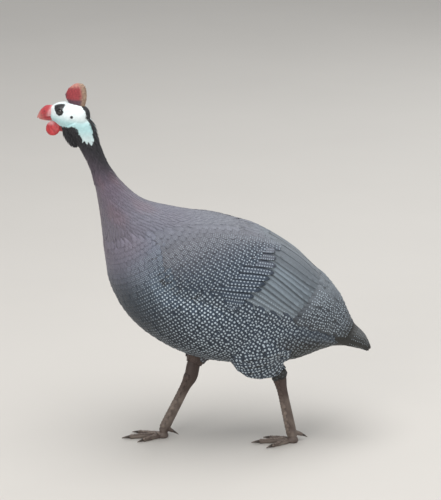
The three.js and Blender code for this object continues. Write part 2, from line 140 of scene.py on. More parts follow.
CASQUE_CUTS = np.array([  # up, front, rear, half width
    [4, -8, -28, 5.8],
    [10, -5, -30, 5.6],
    [14.5, -2.4, -31, 5.2],
    [19.2, -2, -31.4, 4.8],
    [25, -5.2, -31.1, 4.2],
    [30, -9.8, -29.9, 3.2],
    [33, -15, -27.6, 2],
    [34.4, -19.5, -25.2, 0.9],
], dtype=float)
DEWLAP_CENTRE = np.array([-199.0, 4.0, 423.0])
DEWLAP_HALF = (18, 6, 8.5)
WATTLE_HALF = (10, 2.6, 9.5)
WATTLE_PLACE = (12.2, 9.5, -25)
WATTLE_FLARE = math.radians(20)
WATTLE_RED_DEPTH = 4.2  # how far across the red colour reaches from a wattle's middle

# Legs: joints from the hip down to the ball of the foot
STANCE_HALF = 23
LEGS = {
    "left": dict(
        inward=1, heading=178, depths=(44, 44, 34, 12),
        hip=(30, -46, 186), thigh=(34, -50, 150), tibia=(42, -41, 125),
        shank_top=(65, -29, 104), hock=(69, -25, 91), ball=(87, -STANCE_HALF, 8),
    ),
    "right": dict(
        inward=-1, heading=180, depths=(44, 38, 24, 11.5),
        hip=(2, 46, 190), thigh=(-10, 46, 150), tibia=(-27, 35, 122),
        shank_top=(-38, 27, 98), hock=(-42, 25, 82), ball=(-80, STANCE_HALF, 8),
    ),
}
THIGH_WIDTHS = (24, 26, 20, 10.5)
TOE_PLAN = [("middle", 0, 1.0, 1.0), ("inner", 27, 0.72, 0.9), ("outer", -30, 0.78, 0.9)]
TOE_LENGTH = 44
TOE_WIDTH = 3.9
CLAW_LENGTH = 11
PAD_RADIUS = 7.6
HALLUX_HEIGHT = 15
HALLUX_LENGTH = 13
HALLUX_HALF = 2.8
HIND_CLAW_LENGTH = 7.5


# Curves and closed forms
def smooth(t):
    t = np.clip(t, 0, 1)
    return t * t * (3 - 2 * t)


def ramp(value, start, end):
    """0 before start, 1 after end, and smooth between."""
    return smooth((np.asarray(value, float) - start) / (end - start))


def spline(rows, at):
    """Smooth curve through evenly spaced rows; at may be an array."""
    rows = np.asarray(rows, float)
    last = len(rows) - 1
    at = np.clip(np.asarray(at, float), 0, last)
    i = np.minimum(np.floor(at).astype(int), last - 1)
    t = (at - i)[..., None]
    padded = np.concatenate([[2 * rows[0] - rows[1]], rows, [2 * rows[-1] - rows[-2]]])
    before, here, then, after = (padded[i + k] for k in range(4))
    slope_in = (then - before) / 2
    slope_out = (after - here) / 2
    t2, t3 = t * t, t * t * t
    keep = (2 * t3 - 3 * t2 + 1) * here + (3 * t2 - 2 * t3) * then
    return keep + (t3 - 2 * t2 + t) * slope_in + (t3 - t2) * slope_out


def full_turn(count):
    """Even angles once round."""
    return np.linspace(0, 2 * np.pi, count, endpoint=False)


def bell(value, middle, spread):
    """1 at the middle, falling off softly to both sides."""
    return np.exp(-((value - middle) / spread) ** 2)


def unit(vectors):
    return vectors / np.maximum(np.linalg.norm(vectors, axis=-1, keepdims=True), 1e-9)


def loft(rings):
    """Closed body through rings of equal point counts: points and faces, facing outward."""
    rings = np.asarray(rings, float)
    count, sides = rings.shape[:2]
    points = np.concatenate([rings.reshape(-1, 3), [rings[0].mean(0)], [rings[-1].mean(0)]])
    faces = []
    for r in range(count - 1):
        for k in range(sides):
            n = (k + 1) % sides
            a, b = r * sides + k, r * sides + n
            faces.append((a, b, b + sides, a + sides))
    for k in range(sides):
        n = (k + 1) % sides
        faces.append((count * sides, n, k))
        faces.append((count * sides + 1, (count - 1) * sides + k, (count - 1) * sides + n))
    first = points[[f[0] for f in faces]]
    second = points[[f[1] for f in faces]]
    third = points[[f[2] for f in faces]]
    if np.einsum("ij,ij->i", first, np.cross(second, third)).sum() < 0:
        faces = [tuple(reversed(f)) for f in faces]
    return points, faces


def ball(centre, half, axes, rows=24):
    """A rounded form with three half lengths along its own turned axes."""
    climb = np.linspace(-np.pi / 2 + 0.04, np.pi / 2 - 0.04, rows)
    turn = full_turn(2 * rows)
    rings = np.stack([
        np.cos(climb)[:, None] * np.cos(turn),
        np.cos(climb)[:, None] * np.sin(turn),
        np.repeat(np.sin(climb)[:, None], len(turn), 1),
    ], axis=-1) * np.asarray(half, float)
    return loft(np.asarray(centre) + rings @ np.asarray(axes, float))


def put(points):
    """Millimetres in the bird's axes to metres in the frame."""
    return (np.asarray(points, float) + SHIFT) * 0.001


def in_head(ahead, left, up):
    ahead, left, up = np.broadcast_arrays(ahead, left, up)
    out = HEAD_CENTRE + ahead[..., None] * FORWARD + left[..., None] * LEFT
    return out + up[..., None] * UP


def head_place(points):
    """The three head coordinates of points: ahead of the eyes, to the bird's left, and up."""
    away = points - HEAD_CENTRE
    return away @ FORWARD, away @ LEFT, away[:, 2]


# The bird's surfaces
def body_point(at, angle, grow=0.0):
    at, angle, grow = np.broadcast_arrays(np.asarray(at, float), angle, grow)
    cut = spline(BODY_CUTS, at)
    centre = (cut[..., 0:2] + cut[..., 2:4]) / 2
    rise = (cut[..., 2:4] - cut[..., 0:2]) / 2
    length = np.linalg.norm(rise, axis=-1, keepdims=True)
    rise = rise * (length + grow[..., None]) / length
    swing = centre + rise * np.sin(angle)[..., None]
    width = (cut[..., 4] + grow) * np.cos(angle) * (1 - cut[..., 5] * np.sin(angle))
    return np.stack([swing[..., 0], width, swing[..., 1]], axis=-1)


def body_axis(at):
    cut = spline(BODY_CUTS, np.asarray(at, float))
    middle = (cut[..., 0:2] + cut[..., 2:4]) / 2
    return np.stack([middle[..., 0], 0 * middle[..., 0], middle[..., 1]], axis=-1)


def coat_depth(at):
    """How deep the skin lies under the plumage at a place along the body."""
    depth = COAT_NAPE + (COAT_BODY - COAT_NAPE) * ramp(at, 2.2, 4.4)
    return depth + (COAT_TAIL - COAT_BODY) * ramp(at, 9.6, 11)


def wing_span(at):
    places = WING_SPANS[:, 0]
    i = np.clip(np.searchsorted(places, at, side="right") - 1, 0, len(places) - 2)
    t = smooth((at - places[i]) / (places[i + 1] - places[i]))
    return WING_SPANS[i, 1:] * (1 - t) + WING_SPANS[i + 1, 1:] * t


def body_normal(at, angle):
    step = 0.01
    along = body_point(at + step, angle) - body_point(at - step, angle)
    across = body_point(at, angle + step) - body_point(at, angle - step)
    normal = unit(np.cross(along, across))
    outward = body_point(at, angle) - body_point(at, np.asarray(angle) + np.pi)
    flip = np.sign((normal * outward).sum(-1, keepdims=True))
    return normal * flip


def wing_form(side):
    """The skin of one folded wing, sunk into the trunk on its inner face."""
    made = []
    share = np.linspace(0, 1, 32)
    for at in np.linspace(WING_SPANS[0, 0], WING_SPANS[-1, 0], 60):
        low, high, raised = wing_span(at)
        angle = np.radians(low + (high - low) * share)
        bulge = 1 - np.abs(2 * share - 1) ** 2.6
        foot = body_point(at, angle)
        normal = body_normal(at, angle)
        lift = WING_RISE - coat_depth(at) + raised * bulge
        outer = foot + normal * lift[:, None]
        inner = foot - normal * WING_SUNK
        ring = np.concatenate([outer, inner[::-1]])
        ring[:, 1] *= side
        made.append(ring)
    return loft(made)


def limb_frame(stops, at):
    """A limb at a place along its stops: the stop there, its heading, side and depth directions."""
    here = spline(stops, at)
    heading = unit(spline(stops, at + 0.05)[:3] - spline(stops, at - 0.05)[:3])
    across = unit(np.cross([-heading[2], 0, heading[0]], heading))
    return here, heading, across, np.cross(across, heading)


def limb(stops, sides=28, between=10, grow=0.0):
    """Oval rings along a route of rows [x, y, z, half depth, half width]."""
    stops = np.asarray(stops, float)
    rings = []
    for at in np.linspace(0, len(stops) - 1, (len(stops) - 1) * between + 1):
        here, _, across, deep_axis = limb_frame(stops, at)
        turn = full_turn(sides)[:, None]
        ring = here[:3] + deep_axis * (here[3] + grow) * np.cos(turn)
        rings.append(ring + across * (here[4] + grow) * np.sin(turn))
    return loft(rings)


def thigh_stops(leg):
    joints = (leg["hip"], leg["thigh"], leg["tibia"], leg["shank_top"])
    return [(*joint, deep, wide) for joint, deep, wide in zip(joints, leg["depths"], THIGH_WIDTHS)]


def shank_stops(leg):
    hock = np.array(leg["hock"], float)
    foot = np.array(leg["ball"], float)
    tibia = np.array(leg["tibia"], float) * 0.45 + np.array(leg["shank_top"], float) * 0.55
    return [
        (*tibia, 8.6, 7.4),
        (*leg["shank_top"], 9, 7.4),
        (*leg["hock"], 8.8, 7),
        (*(hock + (foot - hock) * 0.2), 6.4, 5),
        (*(hock + (foot - hock) * 0.55), 6.4, 5),
        (*(hock + (foot - hock) * 0.86), 6.6, 5.7),
        (*foot, 6, 6),
    ]


def foot_pad(foot):
    """The ball of the foot: a low round pad with a flat sole."""
    rings = []
    turn = full_turn(40)
    for z, inset in ((0, 1), (2.5, 0), (6, 1), (9.5, 4)):
        radius = PAD_RADIUS - inset
        x, y = foot[0] + radius * np.cos(turn), foot[1] + radius * np.sin(turn)
        rings.append(np.stack([x, y, 0 * turn + z], 1))
    return loft(rings)


def toe_form(foot, heading, length, width):
    """A padded toe with a flat sole."""
    forward = np.array([math.cos(heading), math.sin(heading), 0])
    across = np.array([-forward[1], forward[0], 0])
    rings = []
    for share in np.linspace(0, 1, 40):
        pad = 1 + 0.09 * math.cos(share * math.pi * 6)
        half = width * (1 - 0.3 * share) * pad
        height = width * (0.95 - 0.35 * share)
        turn = full_turn(24)[:, None]
        ring = np.array([foot[0], foot[1], height]) + forward * share * length
        ring = ring + across * half * np.cos(turn) + UP * half * np.sin(turn)
        ring[:, 2] = np.maximum(ring[:, 2], 0)
        rings.append(ring)
    return loft(rings)


def claw_form(start, forward, size, length, drop):
    """A curved horn with a ridge on top and a hollow below."""
    across = unit(np.array([-forward[1], forward[0], 0]))
    rings = []
    for share in np.linspace(0, 1, 16):
        half = size * (1 - 0.78 * share ** 1.3)
        turn = full_turn(16)[:, None]
        ridge = 1 + 0.12 * np.maximum(np.sin(turn), 0) ** 3
        ring = start + forward * share * length + across * 0.8 * half * np.cos(turn)
        ring = ring + UP * (half * np.sin(turn) * ridge - drop * share * share)
        ring[:, 2] = np.maximum(ring[:, 2], 0.05)
        rings.append(ring)
    return loft(rings)


def hallux_route(leg):
    turn = math.radians(leg["heading"] + 180 + leg["inward"] * 14)
    rear = unit(np.array([math.cos(turn), math.sin(turn), -0.45]))
    root = np.array([leg["ball"][0], leg["ball"][1], HALLUX_HEIGHT]) + rear * 2
    return root, root + rear * HALLUX_LENGTH, rear


def head_loft(cuts, sides, between, ridge=0.0):
    """Upright oval rings along the head's forward axis; ridge narrows the upper half."""
    rings = []
    for at in np.linspace(0, len(cuts) - 1, (len(cuts) - 1) * between + 1):
        ahead, top, bottom, half = spline(cuts, at)
        turn = full_turn(sides)
        height = np.sin(turn)
        width = half * np.cos(turn) * (1 - ridge * height)
        level = bottom + (top - bottom) * (0.5 + 0.5 * height)
        rings.append(in_head(ahead, width, level))
    return loft(rings)


def wattle_axes(side):
    """Forward, across and up on one wattle, which flares outward."""
    flare = WATTLE_FLARE * side
    across = LEFT * math.cos(flare) + UP * math.sin(flare)
    return FORWARD, across, unit(-np.cross(FORWARD, across))


def wattle_middle(side):
    ahead, out, up = WATTLE_PLACE
    return in_head(ahead, side * out, up)


def wattle_form(side):
    return ball(wattle_middle(side), WATTLE_HALF, wattle_axes(side), 30)


def dewlap_form():
    axis = unit(np.array([-0.42, 0.1, 0.9]))
    across = unit(np.cross(UP, axis))
    return ball(DEWLAP_CENTRE, DEWLAP_HALF, [axis, across, np.cross(axis, across)], 30)


# Meshes
def placed(name, data):
    """A new object in the scene for a mesh, camera or light."""
    made = bpy.data.objects.new(name, data)
    bpy.context.scene.collection.objects.link(made)
    return made


def object_of(name, points, faces):
    mesh = bpy.data.meshes.new(name)
    mesh.from_pydata([tuple(p) for p in put(points)], [], [tuple(int(i) for i in f) for f in faces])
    mesh.update()
    return placed(name, mesh)


def merged(forms):
    """Several closed forms as one list of points and faces."""
    points, faces, start = [], [], 0
    for form_points, form_faces in forms:
        points.append(form_points)
        faces += [tuple(i + start for i in f) for f in form_faces]
        start += len(form_points)
    return np.concatenate(points), faces


def remeshed(forms, voxel):
    """One even skin round several overlapping forms, as points and faces in millimetres."""
    points, faces = merged(forms)
    scratch = object_of("scratch", points, faces)
    change = scratch.modifiers.new("remesh", "REMESH")
    change.mode = "VOXEL"
    change.voxel_size = voxel * 0.001
    made = scratch.evaluated_get(bpy.context.evaluated_depsgraph_get()).to_mesh()
    places = np.empty(len(made.vertices) * 3)
    made.vertices.foreach_get("co", places)
    skin_faces = [tuple(f.vertices) for f in made.polygons]
    bpy.data.objects.remove(scratch)
    return places.reshape(-1, 3) * 1000 - SHIFT, skin_faces


def edges_of(faces):
    pairs = [(f[k], f[(k + 1) % len(f)]) for f in faces for k in range(len(f))]
    pairs = np.sort(np.array(pairs), axis=1)
    return np.unique(pairs, axis=0)


def relaxed(points, faces, rounds):
    """Smooths a mesh by turns of shrinking and growing, which keep its volume."""
    pairs = edges_of(faces)
    count = len(points)
    degree = np.bincount(pairs.ravel(), minlength=count)[:, None]
    for step in range(rounds):
        share = 0.5 if step % 2 == 0 else -0.52
        near = np.empty_like(points)
        for axis in range(3):
            total = np.bincount(pairs[:, 0], points[pairs[:, 1], axis], count)
            near[:, axis] = total + np.bincount(pairs[:, 1], points[pairs[:, 0], axis], count)
        points = points + share * (near / degree - points)
    return points


def normals_of(points, faces):
    """Smooth outward normals at the points of a mesh of triangles or quads."""
    total = np.zeros_like(points)
    for size in (3, 4):
        group = np.array([f for f in faces if len(f) == size])
        if not len(group):
            continue
        a, b, c = points[group[:, 0]], points[group[:, 1]], points[group[:, 2]]
        flat = np.cross(b - a, c - a)
        if size == 4:
            flat = np.cross(c - a, points[group[:, 3]] - b)
        for k in range(size):
            for axis in range(3):
                total[:, axis] += np.bincount(group[:, k], flat[:, axis], len(points))
    return unit(total)


def wander(points, size, seed):
    """Soft irregular values between about -1 and 1 that change over the given size in mm."""
    waves = 10
    draw = np.random.default_rng(seed)
    total = np.zeros(len(points))
    for _ in range(waves):
        heading = unit(draw.normal(size=3))
        pace = 2 * np.pi / size * draw.uniform(0.5, 1.5)
        total += np.sin(points @ heading * pace + draw.uniform(0, 2 * np.pi))
    return total / math.sqrt(waves / 2) * 0.6


# The head's skin: places read from the bird, as ahead and up from the point between the eyes
FACE_OUTLINE = np.array([  # border of the bare pale skin: ahead, up
    (23, -17), (12, -20.5), (1.7, -21.5), (-10, -21), (-17.7, -19.4), (-22.4, -20), (-24, -26.6),
    (-28.9, -33.9), (-27.8, -38.6), (-28.8, -42.3), (-31.5, -39.8), (-34.2, -42.6), (-36, -40.6),
    (-39.2, -44.3), (-41.2, -41), (-42, -35.5), (-41, -27.7), (-38.2, -19.7), (-33.4, -8.5),
    (-31.4, -0.2), (-28.2, 3.8), (-24.5, 6.6), (-20, 9.5), (-12, 12), (23, 12),
], dtype=float)
EAR_PLACE = (-16.9, -7.3)
EAR_RADIUS = 2.0
GAPE_SLOPE = 0.25  # how steeply the corner of the mouth rises, and the bill's edge falls
# Soft forms of the face: middle as ahead and up, spread as ahead and up, and height
BROW = ((3.5, 4.6), (8, 1.7), 0.9)
LORE = ((13, -4), (4, 4.5), -0.7)
CHEEK = ((-9, -13), (8, 6), 0.7)
NAPE_STRIPE = 3.4  # half the width of the black stripe down the back of the head
LID_OPENING = (4.05, 3.55)
LID_THICK = 0.55
EYE_OUTLINE = np.array([  # the black skin round the eye and over it: ahead, up
    (10.9, 4.2), (9.2, 6.9), (2.6, 7.9), (-2.7, 7.7), (-5, 6.2), (-4.6, 4.2), (-3.6, 2.2),
    (-5.2, -1.2), (-4.2, -5), (0.2, -6.9), (4.2, -5.9), (7.2, -2.2), (9.8, 1.2),
], dtype=float)


def outline_distance(x, y, outline):
    """Signed distance to a closed outline, positive inside."""
    best = np.full(len(x), 1e9)
    inside = np.zeros(len(x), bool)
    for (x0, y0), (x1, y1) in zip(outline, np.roll(outline, -1, axis=0)):
        span = (x1 - x0) ** 2 + (y1 - y0) ** 2
        t = np.clip(((x - x0) * (x1 - x0) + (y - y0) * (y1 - y0)) / span, 0, 1)
        best = np.minimum(best, np.hypot(x - x0 - t * (x1 - x0), y - y0 - t * (y1 - y0)))
        crosses = (y0 > y) != (y1 > y)
        rise = y1 - y0 if y1 != y0 else 1e-9
        inside ^= crosses & (x < (x1 - x0) * (y - y0) / rise + x0)
    return np.where(inside, best, -best)


def wattle_nearness(points):
    """1 on the wattles and 0 away from them."""
    halves = (WATTLE_HALF[0], WATTLE_RED_DEPTH, WATTLE_HALF[2])
    nearest = np.full(len(points), 9.0)
    for side in (1, -1):
        away = points - wattle_middle(side)
        parts = [away @ axis / half for axis, half in zip(wattle_axes(side), halves)]
        nearest = np.minimum(nearest, np.sqrt(sum(p * p for p in parts)))
    return 1 - ramp(nearest, 0.98, 1.14)


def face_share(points):
    """1 where the skin is bare and pale, 0 on black skin, with a ragged edge behind and below."""
    ahead, left, up = head_place(points)
    distance = outline_distance(ahead, up, FACE_OUTLINE)
    ragged = ramp(-up, 14, 26) + ramp(-ahead, 28, 36)
    edge = wander(points, 3.4, 3) * 0.9 + wander(points, 1.5, 4) * 0.8
    distance = distance + edge * (0.25 + 0.75 * np.clip(ragged, 0, 1))
    nape = np.abs(left) - NAPE_STRIPE * (1 - 0.65 * ramp(-up, 12, 20)) + 0.8 * edge
    distance = np.where(ahead < -24, np.minimum(distance, nape + 4 * ramp(ahead, -28, -24)), distance)
    return ramp(distance, -0.35, 0.35)


def mound(ahead, up, middle, spread, height):
    """A soft rise or dip on the side of the head."""
    away = ((ahead - middle[0]) / spread[0]) ** 2
    return height * np.exp(-away - ((up - middle[1]) / spread[1]) ** 2)


def ear_distance(ahead, up):
    return np.hypot(ahead - EAR_PLACE[0], up - EAR_PLACE[1])


def sculpt_head(points, faces):
    """Lids, brow, ear opening, folds and the raised ragged edge of the bare skin."""
    ahead, left, up = head_place(points)
    side = np.sign(left)
    out = np.abs(left)
    normals = normals_of(points, faces)
    outer = ramp(out, 7, 9)
    dx, dy = ahead, up - EYE_UP
    away = np.hypot(dx, dy)
    opening = np.hypot(dx / LID_OPENING[0], dy / LID_OPENING[1])
    near_eye = (1 - ramp(away, 6, 7.5)) * outer
    ball_reach = EYE_OUT + np.sqrt(np.maximum((EYE_RADIUS - 0.55) ** 2 - away ** 2, 0))
    lid_reach = EYE_OUT + np.sqrt(np.maximum((EYE_RADIUS + LID_THICK) ** 2 - away ** 2, 0))
    target = np.where(opening < 1.02, np.minimum(ball_reach, out), np.maximum(lid_reach, out))
    out = out + (target - out) * near_eye

    folds = 0.32 * bell(away, 5.7, 0.5) + 0.22 * bell(away, 7.1, 0.5)
    out = out - folds * outer * (0.6 + 0.4 * np.sin(np.arctan2(dy, dx) * 3))
    out = out + mound(ahead, up, *BROW) * outer
    out = out + mound(ahead, up, *LORE)
    out = out + mound(ahead, up, *CHEEK) * outer
    ear = ear_distance(ahead, up)
    out = out - 1.5 * (1 - ramp(ear, 0.5, EAR_RADIUS)) * outer
    out = out + 0.35 * bell(ear - EAR_RADIUS, 0.7, 0.6) * outer
    gape = bell(up + 12.6 + GAPE_SLOPE * (21 - ahead), 0, 0.6) * ramp(ahead, 9, 13)
    out = out - 0.6 * gape
    points = in_head(ahead, side * out, up)

    pale = face_share(points)
    calm = 1 - 0.8 * (1 - ramp(away, 4, 9)) * outer
    loose = ramp(-up, 14, 28) * pale
    wrinkle = 0.16 * wander(points * [1, 1, 0.5], 2.6, 5) + 0.1 * wander(points, 1.2, 6)
    wrinkle = wrinkle * calm * (0.35 + 0.9 * loose) * (0.3 + 0.7 * pale)
    lift = pale * 0.55 * ramp(-up, 10, 22) + wrinkle
    red = wattle_nearness(points)
    lift = lift * (1 - red) + red * (0.16 * wander(points, 1.9, 7) + 0.1 * wander(points, 1.0, 8))
    return points + normals * lift[:, None]


def skin_of_head():
    """Skull, upper neck, the skin of the throat and both wattles."""
    turn = full_turn(48)
    rings = []
    for at in np.linspace(0, NECK_JOIN, 50):
        rings.append(body_point(at, turn, -COAT_NAPE * float(ramp(at, 0.9, 1.5))))
    skull = head_loft(SKULL_CUTS, 48, 8)
    forms = [skull, loft(rings), dewlap_form(), wattle_form(1), wattle_form(-1)]
    points, faces = remeshed(forms, 0.56)
    points = relaxed(points, faces, 26)
    return sculpt_head(points, faces), faces


def skin_of_body():
    """Lower neck, trunk, tail, both wings and both thighs."""
    turn = full_turn(72)
    rings = []
    for at in np.linspace(NECK_START, TAIL_END, 110):
        rings.append(body_point(at, turn, -float(coat_depth(at))))
    thighs = [limb(thigh_stops(leg), 32, 12, -COAT_BODY) for leg in LEGS.values()]
    points, faces = remeshed([loft(rings), wing_form(-1), wing_form(1)] + thighs, 3.3)
    return relaxed(points, faces, 22), faces


def skin_of_leg(leg):
    """Shank, foot pad and toes of one leg."""
    foot = np.array(leg["ball"], float)
    forms = [limb(shank_stops(leg), 32, 12), foot_pad(foot)]
    for _, spread, reach, width in TOE_PLAN:
        heading = math.radians(leg["heading"] - leg["inward"] * spread)
        forms.append(toe_form(foot, heading, TOE_LENGTH * reach, TOE_WIDTH * width))
    root, end, _ = hallux_route(leg)
    middle = (root + end) / 2
    forms.append(limb([
        (*root, HALLUX_HALF, HALLUX_HALF),
        (*middle, HALLUX_HALF * 1.1, HALLUX_HALF),
        (*end, HALLUX_HALF * 0.8, HALLUX_HALF * 0.75),
    ], 24, 14))
    points, faces = remeshed(forms, 0.95)
    points = relaxed(points, faces, 10)
    points[:, 2] = np.maximum(points[:, 2], 0)
    return points, faces


def join_skin():
    """Body, head and legs as one closed skin."""
    body = object_of("skin", *skin_of_body())
    others = [object_of("skin_head", *skin_of_head())]
    others += [object_of("skin_leg", *skin_of_leg(leg)) for leg in LEGS.values()]
    for other in others:
        union = body.modifiers.new("join", "BOOLEAN")
        union.operation = "UNION"
        union.solver = "MANIFOLD"
        union.object = other
    made = bpy.data.meshes.new_from_object(body.evaluated_get(bpy.context.evaluated_depsgraph_get()))
    body.modifiers.clear()
    body.data = made
    for other in others:
        bpy.data.objects.remove(other)
    return body


# Colours, as a maker would mix them, in linear light
def colour(red, green, blue):
    """A linear colour from the usual 0 to 255 values."""
    shares = np.array([red, green, blue], float) / 255
    return np.where(shares <= 0.04045, shares / 12.92, ((shares + 0.055) / 1.055) ** 2.4)


BLACK_SKIN = colour(34, 34, 38)
FACE_WHITE = colour(236, 246, 247)
FACE_BLUE = colour(184, 222, 224)
WATTLE_RED = colour(196, 58, 62)
WATTLE_DEEP = colour(150, 30, 40)
BILL_RED = colour(182, 66, 72)
BILL_HORN = colour(208, 128, 122)
CERE_PALE = colour(226, 178, 180)
CASQUE_RED = colour(160, 60, 66)
CASQUE_TAN = colour(158, 132, 112)
CASQUE_RIM = colour(196, 136, 124)
CASQUE_SHADE = colour(72, 62, 76)
LEG_BROWN = colour(82, 66, 60)
LEG_PALE = colour(138, 124, 114)
CLAW_DARK = colour(62, 52, 46)
CLAW_TIP = colour(112, 100, 90)


def blend(first, second, share):
    return first + (second - first) * np.asarray(share)[..., None]


def paint_piece(piece, colours):
    """Paints the points of a piece; a fourth value says how white its spots are."""
    if colours.shape[1] == 3:
        colours = np.concatenate([colours, np.ones((len(colours), 1))], axis=1)
    layer = piece.data.attributes.new("hide", "FLOAT_COLOR", "POINT")
    layer.data.foreach_set("color", colours.astype(np.float32).ravel())


def vertex_places(mesh):
    places = np.empty(len(mesh.vertices) * 3)
    mesh.vertices.foreach_get("co", places)
    return places.reshape(-1, 3) * 1000 - SHIFT


def head_colours(points):
    """Black skin, the bare pale face, the dark skin round the eye, and red flesh."""
    ahead, left, up = head_place(points)
    out = np.abs(left)
    blue = ramp(-up + 0.12 * ahead, 4, 15) * (1 - 0.6 * ramp(-up, 22, 38))
    pale = blend(FACE_WHITE, FACE_BLUE, blue)
    pale = pale * (1 + 0.05 * wander(points, 7, 12))[:, None]
    made = blend(BLACK_SKIN, pale, face_share(points))
    outer = ramp(out, 5, 7)
    edge = 0.35 * wander(points, 2.2, 13) + 0.2 * wander(points, 1.1, 14)
    dark = ramp(outline_distance(ahead, up, EYE_OUTLINE) + edge, -0.45, 0.45)
    made = blend(made, BLACK_SKIN, dark * outer)
    ear_share = 1 - ramp(ear_distance(ahead, up), EAR_RADIUS - 0.5, EAR_RADIUS + 0.3)
    made = blend(made, BLACK_SKIN * 1.3, ear_share * outer)
    gape = bell(up + 12.8 + GAPE_SLOPE * (21 - ahead), 0, 1.3) * ramp(ahead, 12, 17)
    red = np.maximum(wattle_nearness(points), 0.85 * gape)
    flesh = blend(WATTLE_RED, WATTLE_DEEP, 0.35 + 0.35 * wander(points, 5, 15))
    flesh = blend(flesh, CERE_PALE, 0.55 * ramp(up, -22.5, -18.5) * ramp(ahead, 8, 14))
    return blend(made, flesh, red)


# Plumage: the ground colour at a place on the body, with painted shade on its underside
NECK_BLACK = colour(50, 49, 54)
NECK_MAUVE = colour(114, 102, 117)
SHOULDER_MAUVE = colour(119, 118, 131)
NECK_ROSE = colour(137, 108, 116)
BACK_GREY = colour(124, 126, 136)
SLATE = colour(85, 99, 113)
FLANK_DARK = colour(48, 60, 74)
COVERT_DARK = colour(55, 66, 80)
COVERT_PALE = colour(99, 100, 108)
TAIL_DARK = colour(39, 39, 37)
FLIGHT_GREY = colour(125, 136, 145)
TERTIAL_GREY = colour(106, 113, 120)
RUMP_GREY = colour(71, 77, 84)
VENT_DARK = colour(35, 37, 37)
SPOT_WHITE = colour(219, 234, 245)


def ground_colour_and_shade(at, angle):
    """Ground colour of the plumage, with painted shade on the underside; at runs along the body, angle is
    90 degrees on the back.
    """
    at, angle = np.broadcast_arrays(np.asarray(at, float), np.asarray(angle, float))
    rise = np.sin(angle)
    made = blend(NECK_BLACK, NECK_MAUVE, ramp(at - 0.45 * rise, 1.3, 3.1))
    made = blend(made, SHOULDER_MAUVE, ramp(at, 2.9, 4.2) * (0.55 + 0.45 * ramp(rise, -0.6, 0.6)))
    cloud = np.sin(2.3 * at + 2.1 * angle) * np.sin(3.1 * at - 2.7 * angle + 1.3)
    rose = 0.28 * ramp(cloud, -0.2, 0.9) * ramp(at, 2.0, 2.9) * (1 - ramp(at, 4.2, 5.2))
    made = blend(made, NECK_ROSE, rose)
    lower = blend(SLATE, FLANK_DARK, ramp(at, 4.9, 7.0))
    upper = blend(SHOULDER_MAUVE, BACK_GREY, ramp(at, 4.4, 6.0))
    body = blend(lower, upper, ramp(rise, 0.05, 0.75))
    made = blend(made, body, ramp(at + 0.35 * rise, 4.2, 5.9))
    made = blend(made, COVERT_DARK, 0.9 * ramp(at, 8.2, 8.7))
    # Painted shade: the underside behind the neck is darker, as light falls from above
    made = made * (1 - 0.54 * ramp(-rise, 0.3, 0.9) * ramp(at, 4.9, 5.9))[..., None]
    made = blend(made, VENT_DARK, ramp(at, 8.0, 8.9) * (1 - ramp(rise, -0.3, 0.1)))
    return blend(made, TAIL_DARK, ramp(at, 9.7, 10.5))


def places_on_body(points):
    """The place along the body and the angle round it that lie nearest to each point."""
    at = np.linspace(0, BODY_END, 241)
    angle = np.radians(np.linspace(-90, 90, 61))
    lattice = body_point(at[:, None], angle[None]).reshape(-1, 3)
    tree = KDTree(len(lattice))
    for i, place in enumerate(lattice):
        tree.insert(place, i)
    tree.balance()
    folded = np.array(points, float)
    folded[:, 1] = np.abs(folded[:, 1])
    index = np.array([tree.find(p)[1] for p in folded])
    return at[index // len(angle)], angle[index % len(angle)]


class Ground:
    """The skin that feathers stand on: nearest places on it, with smooth normals."""

    def __init__(self, mesh):
        self.points = vertex_places(mesh)
        mesh.calc_loop_triangles()
        corners = np.empty(len(mesh.loop_triangles) * 3, int)
        mesh.loop_triangles.foreach_get("vertices", corners)
        self.faces = corners.reshape(-1, 3)
        self.tree = BVHTree.FromPolygons(self.points.tolist(), self.faces.tolist())
        self.normals = normals_of(self.points, [tuple(f) for f in self.faces])

    def smooth_normal(self, places, hit):
        corners = self.points[self.faces[hit]]
        a, b, c = corners[:, 0], corners[:, 1], corners[:, 2]
        whole = np.linalg.norm(np.cross(b - a, c - a), axis=1)
        whole = np.maximum(whole, 1e-9)
        share_a = np.linalg.norm(np.cross(b - places, c - places), axis=1) / whole
        share_b = np.linalg.norm(np.cross(c - places, a - places), axis=1) / whole
        shares = np.stack([share_a, share_b, np.maximum(1 - share_a - share_b, 0)], 1)
        return unit((self.normals[self.faces[hit]] * shares[..., None]).sum(1))

    def nearest(self, points):
        found = [self.tree.find_nearest(p) for p in points.tolist()]
        places = np.array([f[0] for f in found])
        hit = np.array([f[2] for f in found])
        return places, self.smooth_normal(places, hit)

    def cast(self, origins, headings):
        """First hits of rays; also says which rays met the skin."""
        found = [self.tree.ray_cast(o, d) for o, d in zip(origins.tolist(), headings.tolist())]
        met = np.array([f[0] is not None for f in found])
        places = np.array([f[0] if f[0] is not None else (0, 0, 0) for f in found])
        hit = np.array([f[2] if f[2] is not None else 0 for f in found])
        return places, self.smooth_normal(places, hit), met


# Vanes: one flat pattern is cut into triangles, with its spots, and laid on the skin many times
def vane_outline(length, half, widest, root, point, around):
    """Corners of a vane's rim, from the root along its right edge to the tip and back."""
    share = np.linspace(0, 1, around)
    share = np.where(share < 0.5, share, 0.5 + (share - 0.5) * (1.5 - (share - 0.5)))
    width = np.where(
        share < widest,
        root + (1 - root) * smooth(share / widest),
        (1 - np.clip((share - widest) / (1 - widest), 0, 1) ** point) ** (1 / point),
    )
    right = [(u * length, -w * half) for u, w in zip(share[:-1], width[:-1])]
    left = [(u, -w) for u, w in reversed(right)]
    return right + [(length, 0.0)] + left


